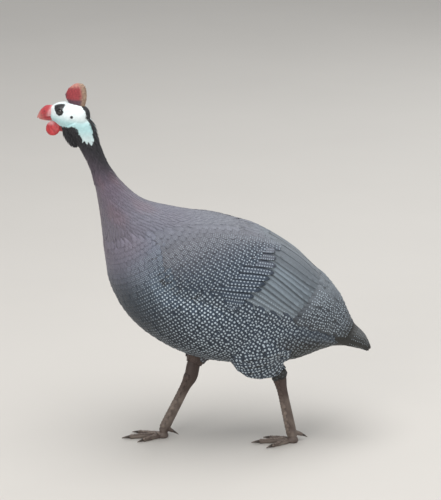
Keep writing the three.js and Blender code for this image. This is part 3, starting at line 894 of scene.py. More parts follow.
class Pattern:
    """A flat vane: u runs from root to tip, v from -1 to 1 across, spots are (u, v, radius)."""

    def __init__(self, length, half, spots=(), widest=0.62, root=0.45, point=2.2, around=9,
                 lines=(), spot_sides=8):
        self.length, self.half = length, half
        outline = vane_outline(length, half, widest, root, point, around)
        corners = [Vector(p) for p in outline]
        faces = [list(range(len(outline)))]
        for u, v, radius in spots:
            faces.append(list(range(len(corners), len(corners) + spot_sides)))
            for k in range(spot_sides):
                turn = 2 * math.pi * (k + 0.5) / spot_sides
                x, y = u * length + radius * math.cos(turn), v * half + radius * math.sin(turn)
                corners.append(Vector((x, y)))
        for u in [u * length for u in np.linspace(0.08, 0.9, max(3, int(length / 6)))]:
            if all((u - su * length) ** 2 + (sv * half) ** 2 > (r * 1.25) ** 2 for su, sv, r in spots):
                corners.append(Vector((u, 0.0)))
                corners += [Vector((u, v * half)) for v in lines]
        made = delaunay_2d_cdt(corners, [], faces, 1, 1e-5)
        self.flat = np.array([(p.x, p.y) for p in made[0]])
        inside = [(face, len(sources) > 1) for face, sources in zip(made[2], made[5]) if 0 in sources]
        triangles = [face for face, _ in inside]
        (px, py), (qx, qy), (rx, ry) = self.flat[list(triangles[0])]
        if (qx - px) * (ry - py) < (qy - py) * (rx - px):
            triangles = [(a, c, b) for a, b, c in triangles]
        place_of = {source: i for i, sources in enumerate(made[3]) for source in sources}
        self.close(triangles, [place_of[i] for i in range(len(outline))])
        spotted = [on_spot for _, on_spot in inside]
        self.spotted = np.array(spotted + [False] * (len(self.triangles) - len(spotted)))
        self.u = self.flat[:, 0] / length
        self.v = self.flat[:, 1] / half

    def close(self, triangles, ring):
        """Adds the edge and the underside, which fans out from two points on the middle line."""
        top, rim = len(self.flat), len(ring)
        under = self.flat[ring]
        following = [(k + 1) % rim for k in range(rim)]
        near_root = (under[:, 0] + under[following, 0]) / 2 < self.length * 0.55
        spine = np.where(near_root, top + rim, top + rim + 1)
        for k, n in enumerate(following):
            triangles += [(ring[k], top + k, top + n), (ring[k], top + n, ring[n])]
            triangles.append((top + k, spine[k], top + n))
        for k, n in enumerate(following):
            if spine[k] != spine[n]:
                triangles.append((top + n, spine[k], spine[n]))
        spine_places = [[self.length * 0.33, 0.0], [self.length * 0.75, 0.0]]
        self.flat = np.concatenate([self.flat, under, spine_places])
        self.below = np.zeros(len(self.flat))
        self.below[top:] = 1
        self.triangles = np.array(triangles)


STATIONS = 6  # places along a small vane where it is laid on the skin
LONG_STATIONS = 14  # the same for a long feather
EDGE_REACH = 0.8  # share of a vane's half width at which the skin beside it is looked for


def lay_on_skin(roots, headings, lengths, halves):
    """Marches feathers over the skin: places and normals as n x stations x 3 lattices."""
    here, normal = ground.nearest(roots)
    heading = unit(headings - normal * (headings * normal).sum(1, keepdims=True))
    places = np.empty((len(roots), STATIONS, 3, 3))
    normals = np.empty_like(places)
    step = lengths[:, None] / (STATIONS - 1)
    for k in range(STATIONS):
        across = np.cross(normal, heading)
        cross_section(here, normal, across, halves, places[:, k], normals[:, k])
        if k + 1 < STATIONS:
            onward = unit(heading)
            here, normal = ground.nearest(here + onward * step)
            heading = unit(onward - normal * (onward * normal).sum(1, keepdims=True))
    return places, normals


def cross_section(here, normal, across, halves, places, normals):
    """Fills one station of a lattice: the middle and both edges of each vane."""
    places[:, 1], normals[:, 1] = here, normal
    for column, sign in ((0, -1), (2, 1)):
        beside = here + across * (sign * halves[:, None] * EDGE_REACH)
        found, side_normal = ground.nearest(beside)
        away = found - here
        reach = np.linalg.norm(away, axis=1, keepdims=True)
        away = away * np.minimum(1, halves[:, None] / np.maximum(reach, 1e-6))
        places[:, column] = here + away / EDGE_REACH
        normals[:, column] = unit(side_normal * 0.7 + normal * 0.3)


def lay_along(routes, halves):
    """Long feathers along given routes of points, n x stations x 3."""
    count, stations = routes.shape[:2]
    places = np.empty((count, stations, 3, 3))
    normals = np.empty_like(places)
    spots, leans = ground.nearest(routes.reshape(-1, 3))
    spots, leans = spots.reshape(routes.shape), leans.reshape(routes.shape)
    headings = unit(np.gradient(spots, axis=1))
    for k in range(stations):
        across = unit(np.cross(leans[:, k], headings[:, k]))
        cross_section(spots[:, k], leans[:, k], across, halves, places[:, k], normals[:, k])
    return places, normals


def along_lattice(lattice, u, v):
    """Smooth reading of n x stations x 3 lattices at the same u and v for all."""
    stations = lattice.shape[1]
    place = np.clip(u, 0, 1) * (stations - 1)
    i = np.minimum(place.astype(int), stations - 2)
    t = (place - i)[None, :, None, None]
    pad = np.concatenate([
        2 * lattice[:, :1] - lattice[:, 1:2], lattice, 2 * lattice[:, -1:] - lattice[:, -2:-1],
    ], axis=1)
    p0, p1, p2, p3 = (pad[:, i + k] for k in range(4))
    read = 0.5 * (2 * p1 + (p2 - p0) * t + (2 * p0 - 5 * p1 + 4 * p2 - p3) * t ** 2
                  + (3 * p1 - p0 - 3 * p2 + p3) * t ** 3)
    low, mid, high = v * (v - 1) / 2, 1 - v * v, v * (v + 1) / 2
    weights = np.stack([low, mid, high], 1)[None, :, :, None]
    return (read * weights).sum(2)


# On OFBake each vane is a small patch at its root's place on the unrolled body, and the spots of
# all vanes lie in a strip of their own above it
BAKE_MARGIN = 0.02
BAKE_SPAN = (0.96, 0.86)
BAKE_PATCH = 0.0027
SPOT_STRIP = (0.93, 0.05)  # the strip's lower edge and height


def bake_across(angle, side):
    """Place across OFBake of an angle round the body: the right half is for side 1."""
    return 0.5 + side * (angle + np.pi / 2) / np.pi * 0.5


class Coat:
    """One coat piece, gathered from groups of feathers that share a pattern."""

    def __init__(self, name, materials):
        self.name, self.materials = name, materials
        self.points, self.triangles, self.spotted, self.hides = [], [], [], []
        self.bakes, self.vanes, self.start = [], [], 0

    def add(self, pattern, lattice, normals, lift, tones, shares, camber=0.4, tilt=0.0, curl=0.0,
            thick=VANE_THICK, mark=None, extra=None, dots=SPOT_SHARE, root_shade=ROOT_SHADE):
        """Adds feathers that lie on a lattice.

        lift is the height over the skin at root and tip, tilt raises the edge at v = 1, extra
        raises single feathers, and shares are their places on OFBake before its margin.
        """
        count = len(lattice)
        u, v = pattern.u, pattern.v
        spots = along_lattice(lattice, u, v)
        lean = unit(along_lattice(normals, u, v))
        rise = lift[0] + (lift[1] - lift[0]) * u ** 0.85
        height = rise + camber * (1 - v * v) * (0.4 + 0.6 * u)
        height = height + tilt * v + curl * np.maximum(u - 0.6, 0) ** 2
        height = height[None] - pattern.below[None] * thick
        if extra is not None:
            height = height + extra[:, None] * (0.25 + 0.75 * u[None])
        spots = spots + lean * height[..., None]
        self.points.append(spots.reshape(-1, 3))
        offsets = self.start + len(u) * np.arange(count)
        self.triangles.append((pattern.triangles[None] + offsets[:, None, None]).reshape(-1, 3))
        self.spotted.append(np.tile(pattern.spotted, count))
        # Painted shade: each vane is darker at its root, which lies under the vane above, and mark darkens
        # further parts in painted shade
        shade = root_shade + (1 - root_shade) * smooth(u / 0.55)
        if mark is not None:
            shade = shade * mark(u, v)
        painted = np.empty((count, len(u), 4))
        painted[..., :3] = tones[:, None] * shade[None, :, None]
        painted[..., 3] = np.broadcast_to(dots, count)[:, None]
        self.hides.append(painted.reshape(-1, 4))
        patch = np.stack([v * (BAKE_PATCH / 2), (u - 0.5) * BAKE_PATCH], 1)
        base = BAKE_MARGIN + shares * BAKE_SPAN
        self.bakes.append((base[:, None] + patch[None]).reshape(-1, 2))
        flat = pattern.flat[None] + rng.uniform(0, 400, (count, 1, 2)) * [1, 0]
        self.vanes.append(flat.reshape(-1, 2))
        self.start += len(u) * count

    def build(self):
        triangles = np.concatenate(self.triangles)
        spotted = np.concatenate(self.spotted)
        piece = mesh_piece(self.name, np.concatenate(self.points), triangles)
        bake = np.concatenate(self.bakes)[triangles.ravel()]
        dots = np.repeat(spotted, 3)
        bake[dots, 1] = SPOT_STRIP[0] + bake[dots, 1] * SPOT_STRIP[1]
        uv_layer(piece.data, "OFBake", bake)
        uv_layer(piece.data, "Vane", np.concatenate(self.vanes)[triangles.ravel()])
        paint_piece(piece, np.concatenate(self.hides))
        for material in self.materials:
            piece.data.materials.append(material)
        piece.data.polygons.foreach_set("material_index", spotted.astype(np.int32))
        finish_piece(piece)


def mesh_piece(name, points, triangles):
    mesh = bpy.data.meshes.new(name)
    mesh.vertices.add(len(points))
    mesh.vertices.foreach_set("co", put(points).astype(np.float32).ravel())
    mesh.loops.add(triangles.size)
    mesh.loops.foreach_set("vertex_index", triangles.astype(np.int32).ravel())
    mesh.polygons.add(len(triangles))
    mesh.polygons.foreach_set("loop_start", np.arange(0, triangles.size, 3, dtype=np.int32))
    mesh.update(calc_edges=True)
    return placed(name, mesh)


def uv_layer(mesh, name, corners):
    layer = mesh.uv_layers.new(name=name)
    layer.data.foreach_set("uv", corners.astype(np.float32).ravel())


# Node groups and materials
def new_group(name, inputs, outputs):
    tree = bpy.data.node_groups.new(name, "ShaderNodeTree")
    kinds = {"colour": "NodeSocketColor", "value": "NodeSocketFloat"}
    for label, kind, start in inputs:
        socket = tree.interface.new_socket(label, in_out="INPUT", socket_type=kinds[kind])
        socket.default_value = start
    for label, kind in outputs:
        tree.interface.new_socket(label, in_out="OUTPUT", socket_type=kinds[kind])
    return tree, tree.nodes.new("NodeGroupInput"), tree.nodes.new("NodeGroupOutput")


def maths(tree, operation, first, second=None):
    node = tree.nodes.new("ShaderNodeMath")
    node.operation = operation
    for socket, given in zip(node.inputs, (first, second)):
        if given is None:
            continue
        if isinstance(given, (int, float)):
            socket.default_value = given
        else:
            tree.links.new(given, socket)
    return node.outputs[0]


def tinted(tree, colour_socket, factor_socket):
    """A colour made lighter or darker by a factor."""
    node = tree.nodes.new("ShaderNodeVectorMath")
    node.operation = "SCALE"
    tree.links.new(colour_socket, node.inputs[0])
    tree.links.new(factor_socket, node.inputs["Scale"])
    return node.outputs[0]


def noise(tree, vector, scale, detail=3.0):
    node = tree.nodes.new("ShaderNodeTexNoise")
    node.inputs["Detail"].default_value = detail
    node.inputs["Roughness"].default_value = 0.55
    tree.links.new(vector, node.inputs["Vector"])
    if isinstance(scale, (int, float)):
        node.inputs["Scale"].default_value = scale
    else:
        tree.links.new(scale, node.inputs["Scale"])
    return node.outputs["Fac"]


def make_mottle():
    """Uneven colour: soft lighter and darker places of a given fineness."""
    tree, given, made = new_group(
        "mottle",
        [("Colour", "colour", (1, 1, 1, 1)), ("Fineness", "value", 300.0), ("Amount", "value", 0.2)],
        [("Colour", "colour")])
    place = tree.nodes.new("ShaderNodeTexCoord")
    soft = noise(tree, place.outputs["Object"], given.outputs["Fineness"])
    swing = maths(tree, "MULTIPLY", maths(tree, "SUBTRACT", soft, 0.5), given.outputs["Amount"])
    factor = maths(tree, "ADD", maths(tree, "MULTIPLY", swing, 2.0), 1.0)
    tree.links.new(tinted(tree, given.outputs["Colour"], factor), made.inputs["Colour"])
    return tree


def make_pores():
    """Cells and fine grain of skin, horn or scale, as a height."""
    tree, given, made = new_group(
        "pores", [("Fineness", "value", 900.0), ("Grain", "value", 0.4)], [("Height", "value")])
    place = tree.nodes.new("ShaderNodeTexCoord")
    cells = tree.nodes.new("ShaderNodeTexVoronoi")
    tree.links.new(place.outputs["Object"], cells.inputs["Vector"])
    tree.links.new(given.outputs["Fineness"], cells.inputs["Scale"])
    finer = maths(tree, "MULTIPLY", given.outputs["Fineness"], 0.45)
    fine = noise(tree, place.outputs["Object"], finer)
    height = maths(tree, "ADD", maths(tree, "MULTIPLY", fine, given.outputs["Grain"]),
                   maths(tree, "MULTIPLY", cells.outputs["Distance"], 0.6))
    tree.links.new(height, made.inputs["Height"])
    return tree


def make_barbs():
    """A vane's own surface: slanting barbs and fine pale scribbles, from its flat pattern in mm."""
    tree, given, made = new_group(
        "barbs",
        [("Colour", "colour", (1, 1, 1, 1)), ("Pitch", "value", 0.55), ("Scribble", "value", 0.3)],
        [("Colour", "colour"), ("Height", "value")])
    flat = tree.nodes.new("ShaderNodeUVMap")
    flat.uv_map = "Vane"
    axes = tree.nodes.new("ShaderNodeSeparateXYZ")
    tree.links.new(flat.outputs["UV"], axes.inputs[0])
    slant = maths(tree, "SUBTRACT", axes.outputs["X"], maths(tree, "ABSOLUTE", axes.outputs["Y"]))
    turns = maths(tree, "DIVIDE", maths(tree, "MULTIPLY", slant, 2 * math.pi), given.outputs["Pitch"])
    barb = maths(tree, "SINE", turns)
    loose = noise(tree, flat.outputs["UV"], 1.6, 2.0)
    along = maths(tree, "MULTIPLY", axes.outputs["X"], 4.2)
    wave = maths(tree, "ADD", along, maths(tree, "MULTIPLY", loose, 9.0))
    mark = maths(tree, "POWER", maths(tree, "ABSOLUTE", maths(tree, "SINE", wave)), 3.0)
    light = maths(tree, "MULTIPLY", mark, given.outputs["Scribble"])
    factor = maths(tree, "ADD", maths(tree, "MULTIPLY", barb, 0.05), maths(tree, "ADD", light, 0.94))
    tree.links.new(tinted(tree, given.outputs["Colour"], factor), made.inputs["Colour"])
    height = maths(tree, "ADD", barb, maths(tree, "MULTIPLY", light, 0.5))
    tree.links.new(height, made.inputs["Height"])
    return tree


MOTTLE = make_mottle()
PORES = make_pores()
BARBS = make_barbs()


def place_group(tree, group, **values):
    node = tree.nodes.new("ShaderNodeGroup")
    node.node_tree = group
    for name, value in values.items():
        node.inputs[name].default_value = value
    return node


def new_material(name, roughness, coat=0.0, sheen=0.0, coat_roughness=0.1):
    material = bpy.data.materials.new(name)
    material.use_nodes = True
    tree = material.node_tree
    shader = tree.nodes["Principled BSDF"]
    shader.inputs["Roughness"].default_value = roughness
    shader.inputs["Coat Weight"].default_value = coat
    shader.inputs["Coat Roughness"].default_value = coat_roughness
    shader.inputs["Sheen Weight"].default_value = sheen
    hide = tree.nodes.new("ShaderNodeAttribute")
    hide.attribute_name = "hide"
    return material, tree, shader, hide.outputs["Color"]


def add_bump(tree, shader, height, strength, distance):
    bump = tree.nodes.new("ShaderNodeBump")
    bump.inputs["Strength"].default_value = strength
    bump.inputs["Distance"].default_value = distance
    tree.links.new(height, bump.inputs["Height"])
    tree.links.new(bump.outputs["Normal"], shader.inputs["Normal"])


def surface(name, roughness, fineness, amount, pore, grain, relief, **more):
    """A painted surface with uneven colour and pores; relief is in millimetres."""
    material, tree, shader, hide = new_material(name, roughness, **more)
    uneven = place_group(tree, MOTTLE, Fineness=fineness, Amount=amount)
    tree.links.new(hide, uneven.inputs["Colour"])
    tree.links.new(uneven.outputs["Colour"], shader.inputs["Base Color"])
    cells = place_group(tree, PORES, Fineness=pore, Grain=grain)
    add_bump(tree, shader, cells.outputs["Height"], 0.6, relief * 0.001)
    return material


def vane_material(name, roughness, pitch, scribble, sheen=0.0):
    material, tree, shader, hide = new_material(name, roughness, sheen=sheen)
    barb = place_group(tree, BARBS, Pitch=pitch, Scribble=scribble)
    tree.links.new(hide, barb.inputs["Colour"])
    uneven = place_group(tree, MOTTLE, Fineness=260.0, Amount=0.18)
    tree.links.new(barb.outputs["Colour"], uneven.inputs["Colour"])
    tree.links.new(uneven.outputs["Colour"], shader.inputs["Base Color"])
    add_bump(tree, shader, barb.outputs["Height"], 0.35, 0.00015)
    return material


def spot_material(name):
    """A pale spot; the fourth value of the painted colour says how white it is."""
    material, tree, shader, hide = new_material(name, 0.6)
    mix = tree.nodes.new("ShaderNodeMix")
    mix.data_type = "RGBA"
    tree.links.new(hide.node.outputs["Alpha"], mix.inputs["Factor"])
    tree.links.new(hide, mix.inputs["A"])
    mix.inputs["B"].default_value = (*SPOT_WHITE, 1)
    uneven = place_group(tree, MOTTLE, Fineness=500.0, Amount=0.2)
    tree.links.new(mix.outputs["Result"], uneven.inputs["Colour"])
    tree.links.new(uneven.outputs["Colour"], shader.inputs["Base Color"])
    return material


UNDER_SKIN = surface("under_skin", 0.7, 220.0, 0.2, 800.0, 0.5, 0.3)
FACE_SKIN = surface("bare_face", 0.42, 420.0, 0.08, 1500.0, 0.5, 0.16, coat=0.15, coat_roughness=0.35)
RED_SKIN = surface("red_flesh", 0.36, 500.0, 0.22, 1300.0, 0.5, 0.25, coat=0.25, coat_roughness=0.3)
LEG_SKIN = surface("leg_skin", 0.55, 380.0, 0.3, 700.0, 0.4, 0.3)
LEG_SCALE = surface("leg_scale", 0.45, 520.0, 0.3, 1600.0, 0.6, 0.08)
BILL_HORN_FINISH = surface("bill_finish", 0.38, 400.0, 0.16, 1500.0, 0.8, 0.06, coat=0.1)
CASQUE_FINISH = surface("casque_finish", 0.52, 350.0, 0.28, 1000.0, 0.7, 0.2)
CLAW_FINISH = surface("claw_finish", 0.4, 500.0, 0.3, 1600.0, 0.8, 0.06, coat=0.1)
EYE_FINISH = surface("wet_eye", 0.12, 900.0, 0.3, 3000.0, 0.2, 0.01, coat=1.0, coat_roughness=0.02)
TUFT = vane_material("black_tuft", 0.5, 0.5, 0.1)
PLAIN_VANE = vane_material("plain_vane", 0.55, 0.45, 0.22, sheen=0.15)
SPOTTED_VANE = vane_material("spotted_vane", 0.52, 0.5, 0.3)
FLIGHT_VANE = vane_material("flight_vane", 0.45, 0.8, 0.25)
SPOT = spot_material("vane_spot")


# Pieces
def finish_piece(piece, nodes=()):
    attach(piece, "root")
    if nodes:
        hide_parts(*nodes)
    piece.data.polygons.foreach_set("use_smooth", np.ones(len(piece.data.polygons), bool))


SIDES = ("left", "right")
TOES = ("middle", "inner", "outer", "hind")
HEAD_BORDER = 404  # height of the border between the skins of neck and head
LEG_TOP = 112  # below this height the skin is that of the legs
CUFF = (108, 118)  # heights between which the bare leg goes over into plumage
CUFF_STEP = 15  # how much higher that is on the leading leg


def lower_leg(height):
    """1 low on the leg, where its scales are paler, and 0 at the hock."""
    return 1 - ramp(height, 45, 85)


def skin_colours(points):
    at, angle = places_on_body(points)
    height = points[:, 2]
    bare = 1 - ramp(height - CUFF_STEP * (points[:, 1] > 0), *CUFF)
    pale = lower_leg(height) * (0.6 + 0.4 * wander(points, 16, 21))
    made = blend(ground_colour_and_shade(at, angle), blend(LEG_BROWN, LEG_PALE, pale) * 0.78, bare)
    return blend(made, head_colours(points), ramp(height, HEAD_BORDER - 2, HEAD_BORDER + 2))


def finish_skin(skin):
    """Paints the skin, shares it out among its surfaces and hides the nodes it stands for."""
    paint_piece(skin, skin_colours(vertex_places(skin.data)))
    skin.data.materials.clear()
    for material in (UNDER_SKIN, FACE_SKIN, RED_SKIN, LEG_SKIN):
        skin.data.materials.append(material)
    centres = np.empty(len(skin.data.polygons) * 3)
    skin.data.polygons.foreach_get("center", centres)
    centres = centres.reshape(-1, 3) * 1000 - SHIFT
    on_head = centres[:, 2] > HEAD_BORDER
    zone = np.where(centres[:, 2] < LEG_TOP, 3, 0)
    zone = np.where(on_head & (face_share(centres) > 0.5), 1, zone)
    zone = np.where(on_head & (wattle_nearness(centres) > 0.5), 2, zone)
    skin.data.polygons.foreach_set("material_index", zone.astype(np.int32))
    nodes = ["head", "neck", "trunk", "tail"]
    for side in SIDES:
        nodes += [f"wattle_{side}", f"wing_{side}", f"thigh_{side}", f"shank_{side}"]
        nodes += [f"toe_{toe}_{side}" for toe in TOES]
    finish_piece(skin, nodes)


def bill(name, node, cuts, ridge, upper):
    """One half of the bill; the upper half has nostrils, a soft base and a raised cutting edge."""
    points, faces = head_loft(cuts, 40, 12, ridge)
    ahead, left, up = head_place(points)
    side = np.sign(left)
    normal = normals_of(points, faces)
    if upper:
        hole = np.hypot((ahead - 24.5) / 2.3, (up + 4.6) / 0.9)
        points = points - normal * (1.1 * (1 - ramp(hole, 0.5, 1.1)))[:, None]
        flap = np.hypot((ahead - 24) / 3.4, (up + 2.9) / 1.1)
        points = points + normal * (0.45 * (1 - ramp(flap, 0.5, 1.2)))[:, None]
        mouth_line = -11.2 - GAPE_SLOPE * (ahead - 20)
        edge = bell(up - mouth_line, 0.9, 0.7) * (1 - ramp(ahead, 34, 38))
        points = points + LEFT * (side * 0.4 * edge)[:, None]
    points = points + normal * (0.07 * wander(points, 2.4, 31))[:, None]
    piece = object_of(name, points, faces)
    made = blend(BILL_RED, BILL_HORN, ramp(ahead + 0.6 * (-up - 8), 27, 37))
    # Painted shade in the gap between the two halves of the bill
    mouth_gap_shade = bell(up + 12.2 + GAPE_SLOPE * (ahead - 20), 0, 0.8)
    made = blend(made, BILL_RED * 0.4, 0.6 * mouth_gap_shade * (1 - ramp(ahead, 33, 37)))
    if upper:
        cere = 1 - ramp(ahead + 0.35 * up, 15.5, 21)
        made = blend(made, CERE_PALE, 0.7 * cere)
        # Painted shade in the nostril holes
        made = blend(made, BILL_RED * 0.35, 1 - ramp(hole, 0.6, 1.0))
    paint_piece(piece, made * (1 + 0.12 * wander(points, 4, 32))[:, None])
    piece.data.materials.append(BILL_HORN_FINISH)
    finish_piece(piece, [node])


def casque():
    """The horn on the head, with a groove before its rear edge and growth lines."""
    rings = []
    turn = full_turn(56)
    for at in np.linspace(0, len(CASQUE_CUTS) - 1, 72):
        up, front, rear, half = spline(CASQUE_CUTS, at)
        reach = 0.5 + 0.5 * np.cos(turn)
        rings.append(in_head(rear + (front - rear) * reach, half * np.sin(turn), up))
    points, faces = loft(rings)
    ahead, _, up = head_place(points)
    front, rear = (np.interp(up, CASQUE_CUTS[:, 0], CASQUE_CUTS[:, k]) for k in (1, 2))
    to_rear = ahead - rear
    back_share = to_rear / np.maximum(front - rear, 1)
    normal = normals_of(points, faces)
    groove = bell(to_rear, 6.2, 1.4) * ramp(up, 8, 12) * (1 - ramp(up, 27, 31))
    relief = -0.5 * groove + 0.22 * wander(points * [1, 1, 2.2], 5, 41) + 0.12 * wander(points, 1.8, 42)
    relief = relief + 0.15 * np.sin(up * 2.6 + 1.5 * wander(points, 9, 43)) * (1 - back_share)
    points = points + normal * relief[:, None]
    rim = ramp(up + 0.25 * ahead + 0.6 * wander(points, 5, 46), 20.5, 28.5) * ramp(up, 24, 31)
    made = blend(CASQUE_RED, CASQUE_RIM, rim)
    made = blend(made, CASQUE_TAN, 1 - ramp(to_rear + 0.8 * wander(points, 4, 47), 2.4, 8.4))
    # Painted shade at the foot of the horn and low on its front
    dark = np.maximum(1 - ramp(up, 11, 15.5), ramp(ahead + 0.4 * up, 0.5, 4.5) * (1 - ramp(up, 18, 22)))
    made = blend(made, CASQUE_SHADE, 0.85 * dark * ramp(to_rear, 2, 6))
    made = made * (1 + 0.16 * wander(points, 4, 44) + 0.1 * wander(points, 1.7, 45))[:, None]
    piece = object_of("casque_horn", points, faces)
    paint_piece(piece, made)
    piece.data.materials.append(CASQUE_FINISH)
    finish_piece(piece, ["casque"])


IRIS_BROWN = colour(24, 18, 16)
EYE_BLACK = colour(8, 7, 8)


def eyeball(side, sign):
    axis = LEFT * sign
    middle = in_head(0, sign * EYE_OUT, EYE_UP)
    points, faces = ball(middle, (EYE_RADIUS,) * 3, [FORWARD, np.cross(axis, FORWARD), axis], 48)
    away = points - middle
    off_axis = np.linalg.norm(away - axis * (away @ axis)[:, None], axis=1)
    facing = away @ axis > 0
    turn = np.arctan2(away @ UP, away @ FORWARD)
    iris = ramp(off_axis, 1.5, 1.75) * (1 - ramp(off_axis, 3.1, 3.5)) * facing
    made = blend(EYE_BLACK, IRIS_BROWN, iris)
    made = made * (1 + 0.25 * iris * np.sin(turn * 23))[:, None]
    piece = object_of(f"eyeball_{side}", points, faces)
    paint_piece(piece, made)
    piece.data.materials.append(EYE_FINISH)
    finish_piece(piece, [f"eye_{side}"])


def claw(name, node, start, forward, size, length, drop):
    points, faces = claw_form(start, forward, size, length, drop)
    piece = object_of(name, points, faces)
    share = ((points - start) @ forward) / length
    made = blend(CLAW_DARK, CLAW_TIP, ramp(share, 0.3, 1))
    paint_piece(piece, made * (1 + 0.2 * wander(points, 2, 51))[:, None])
    piece.data.materials.append(CLAW_FINISH)
    finish_piece(piece, [node])


def claws(side, leg):
    """The three front claws and the hind claw of one foot."""
    foot = np.array([leg["ball"][0], leg["ball"][1], 0.0])
    for toe, spread, reach, width in TOE_PLAN:
        heading = math.radians(leg["heading"] - leg["inward"] * spread)
        forward = np.array([math.cos(heading), math.sin(heading), 0.0])
        thick = TOE_WIDTH * width
        start = foot + forward * (TOE_LENGTH * reach - 0.8)
        start[2] = thick * 0.72
        claw(f"horn_{toe}_{side}", f"claw_{toe}_{side}", start, forward,
             thick * 0.56, CLAW_LENGTH * reach ** 0.5 + 1, thick * 0.3)
    _, end, rear = hallux_route(leg)
    claw(f"horn_hind_{side}", f"claw_hind_{side}", end - rear * 0.6, rear,
         HALLUX_HALF * 0.68, HIND_CLAW_LENGTH + 1, HALLUX_HALF * 0.4)


# Feather tracts
BOTH = (-1, 1)  # the bird's left side and its right side
MIDLINE = 0.998  # share of a right angle where the row on the bird's middle line stands
ROW_MARGIN = 0.9  # degrees by which a row may pass its tract's border


def rows_over_body(at_from, at_to, low, high, gap, reference=0.0):
    """Roots in staggered rows; low, high and gap are functions of the place along the body."""
    places, angles, row = [], [], 0
    at = at_from
    while at < at_to:
        turn = np.radians(np.linspace(-90, 90, 181))
        arc = body_point(at, turn)
        walked = np.concatenate([[0], np.cumsum(np.linalg.norm(np.diff(arc, axis=0), axis=1))])
        walked -= np.interp(math.radians(reference), turn, walked)
        width = gap(at)
        marks = np.arange(math.ceil(walked[0] / width), math.floor(walked[-1] / width) + 1) * width
        marks = marks + (width / 2 if row % 2 else 0)
        found = np.interp(marks, walked, turn)
        if low(at) < -85 and marks[0] - walked[0] > 0.25 * width:
            marks, found = np.append(marks, walked[0]), np.append(found, MIDLINE * turn[0])
        if high(at) > 85 and walked[-1] - marks[-1 if low(at) >= -85 else -2] > 0.25 * width:
            marks, found = np.append(marks, walked[-1] - 0.01), np.append(found, MIDLINE * turn[-1])
        kept = (marks < walked[-1]) & (found > math.radians(low(at) - ROW_MARGIN))
        kept = kept & (found < math.radians(high(at) + ROW_MARGIN))
        places.append(np.full(kept.sum(), at))
        angles.append(found[kept])
        here = math.radians(reference)
        step = np.linalg.norm(body_point(at + 0.02, here) - body_point(at, here)) / 0.02
        at += width / step
        row += 1
    return np.concatenate(places), np.concatenate(angles)


def on_side(points, side):
    return points * np.array([1, side, 1])


def body_roots(at, angle, side):
    """Roots on the skin under a place of the body, and the lie of the feathers there."""
    centre = body_axis(at)
    surface_place = on_side(body_point(at, angle), side)
    places, _, met = ground.cast(centre, unit(surface_place - centre))
    heading = unit(on_side(body_point(at + 0.03, angle) - body_point(at - 0.03, angle), side))
    shares = np.stack([bake_across(angle, side), at / BODY_END], 1)
    return places, heading, shares, met


def droop(heading, degrees):
    """Turns headings a little towards the ground."""
    return unit(heading - UP * math.tan(math.radians(degrees)))


def dotted(length, half, pitch, radius, reach, seed, columns=2, odd=0.0):
    """A vane with rows of spots behind its tip."""
    draw = np.random.default_rng(seed)
    spots = []
    away = pitch * (0.45 + odd)
    while away < reach:
        for c in range(columns):
            across = (c - (columns - 1) / 2) * pitch
            from_tip = 1 - min(away, length * 0.35) / (length * 0.38)
            inset = math.sqrt(max(0.0, 1 - from_tip ** 2)) * half
            if abs(across) + radius * 1.25 < inset:
                size = radius * draw.uniform(0.9, 1.1)
                across = across + draw.uniform(-0.05, 0.05) * pitch
                spots.append((1 - away / length, across / half, size))
        away += pitch
    return Pattern(length, half, spots)


def steady(value):
    """A function of the place that gives the same value everywhere."""
    return lambda *place: value


def grow_rows(coat, patterns, at, angle, sides, lift, sizes=steady(1.0), choose=None, tilt_down=0.0,
              tone=ground_colour_and_shade, jitter=0.12, camber=0.4, keep=None, curl=0.0, thick=VANE_THICK,
              mark=None, dots=None, calm=(0.0,) * 5, sunk=steady(0)):
    """Lays one system of rows; choose gives the group of patterns at each place.

    calm says for each group how flat it lies and how little painted shade it has, from 0 to 1, for smooth
    plumage, and sunk says how far the feathers of a place lie below their row.
    """
    for side in sides:
        roots, heading, shares, met = body_roots(at, angle, side)
        good = met if keep is None else met & keep(roots)
        if side > 0:
            good = good & (np.abs(angle) < math.radians(89.3))
        group = np.zeros(len(at), int) if choose is None else choose(at, angle)
        scale = sizes(at, angle) * rng.uniform(0.97, 1.03, len(at))
        wild = rng.normal(0, jitter, (len(at), 3))
        heading = droop(unit(heading + wild), tilt_down)
        tones = tone(at, angle) * rng.uniform(0.96, 1.04, (len(at), 1))
        variant = rng.integers(0, 64, len(at))
        extra = rng.normal(0, 0.1, len(at)) - sunk(at, angle)
        for g, choices in enumerate(patterns):
            soft = calm[g]
            rise = (lift[0], lift[1] * (1 - 0.38 * soft))
            shading = None if mark is None else lambda u, v: 1 - (1 - mark(u, v)) * (1 - soft)
            for w, pattern in enumerate(choices):
                pick = np.flatnonzero(good & (group == g) & (variant % len(choices) == w))
                if not len(pick):
                    continue
                lattice, normals = lay_on_skin(
                    roots[pick], heading[pick], pattern.length * scale[pick], pattern.half * scale[pick])
                coat.add(pattern, lattice, normals, rise, tones[pick], shares[pick],
                         camber=camber * (1 - 0.6 * soft), curl=curl, thick=thick, mark=shading,
                         extra=extra[pick] * (1 - 0.6 * soft),
                         root_shade=ROOT_SHADE + (0.96 - ROOT_SHADE) * soft,
                         dots=SPOT_SHARE if dots is None else dots(at[pick], angle[pick]))


# Borders of the tracts on the side of the body: degrees round it, place along it
PLAIN_EDGE = np.array([  # where the unspotted feathers of neck and shoulders end
    (-90, 4.7), (-30, 4.7), (0, 4.85), (20, 4.95), (38, 5.2), (50, 5.6), (60, 6.2), (66, 6.7), (90, 6.8),
], dtype=float)
COVERT_EDGE = np.array([  # where the wing coverts end
    (-20, 6.75), (4, 6.72), (20, 6.82), (40, 6.95), (54, 7.1), (62, 7.2), (90, 7.0),
], dtype=float)
COVERT_REACH = 0.04
COVERT_STRONG = np.array([  # where the coverts' spots are at their strongest
    (-20, 6.0), (4, 6.25), (20, 6.5), (40, 6.85), (60, 7.35), (75, 8.2), (90, 9),
], dtype=float)
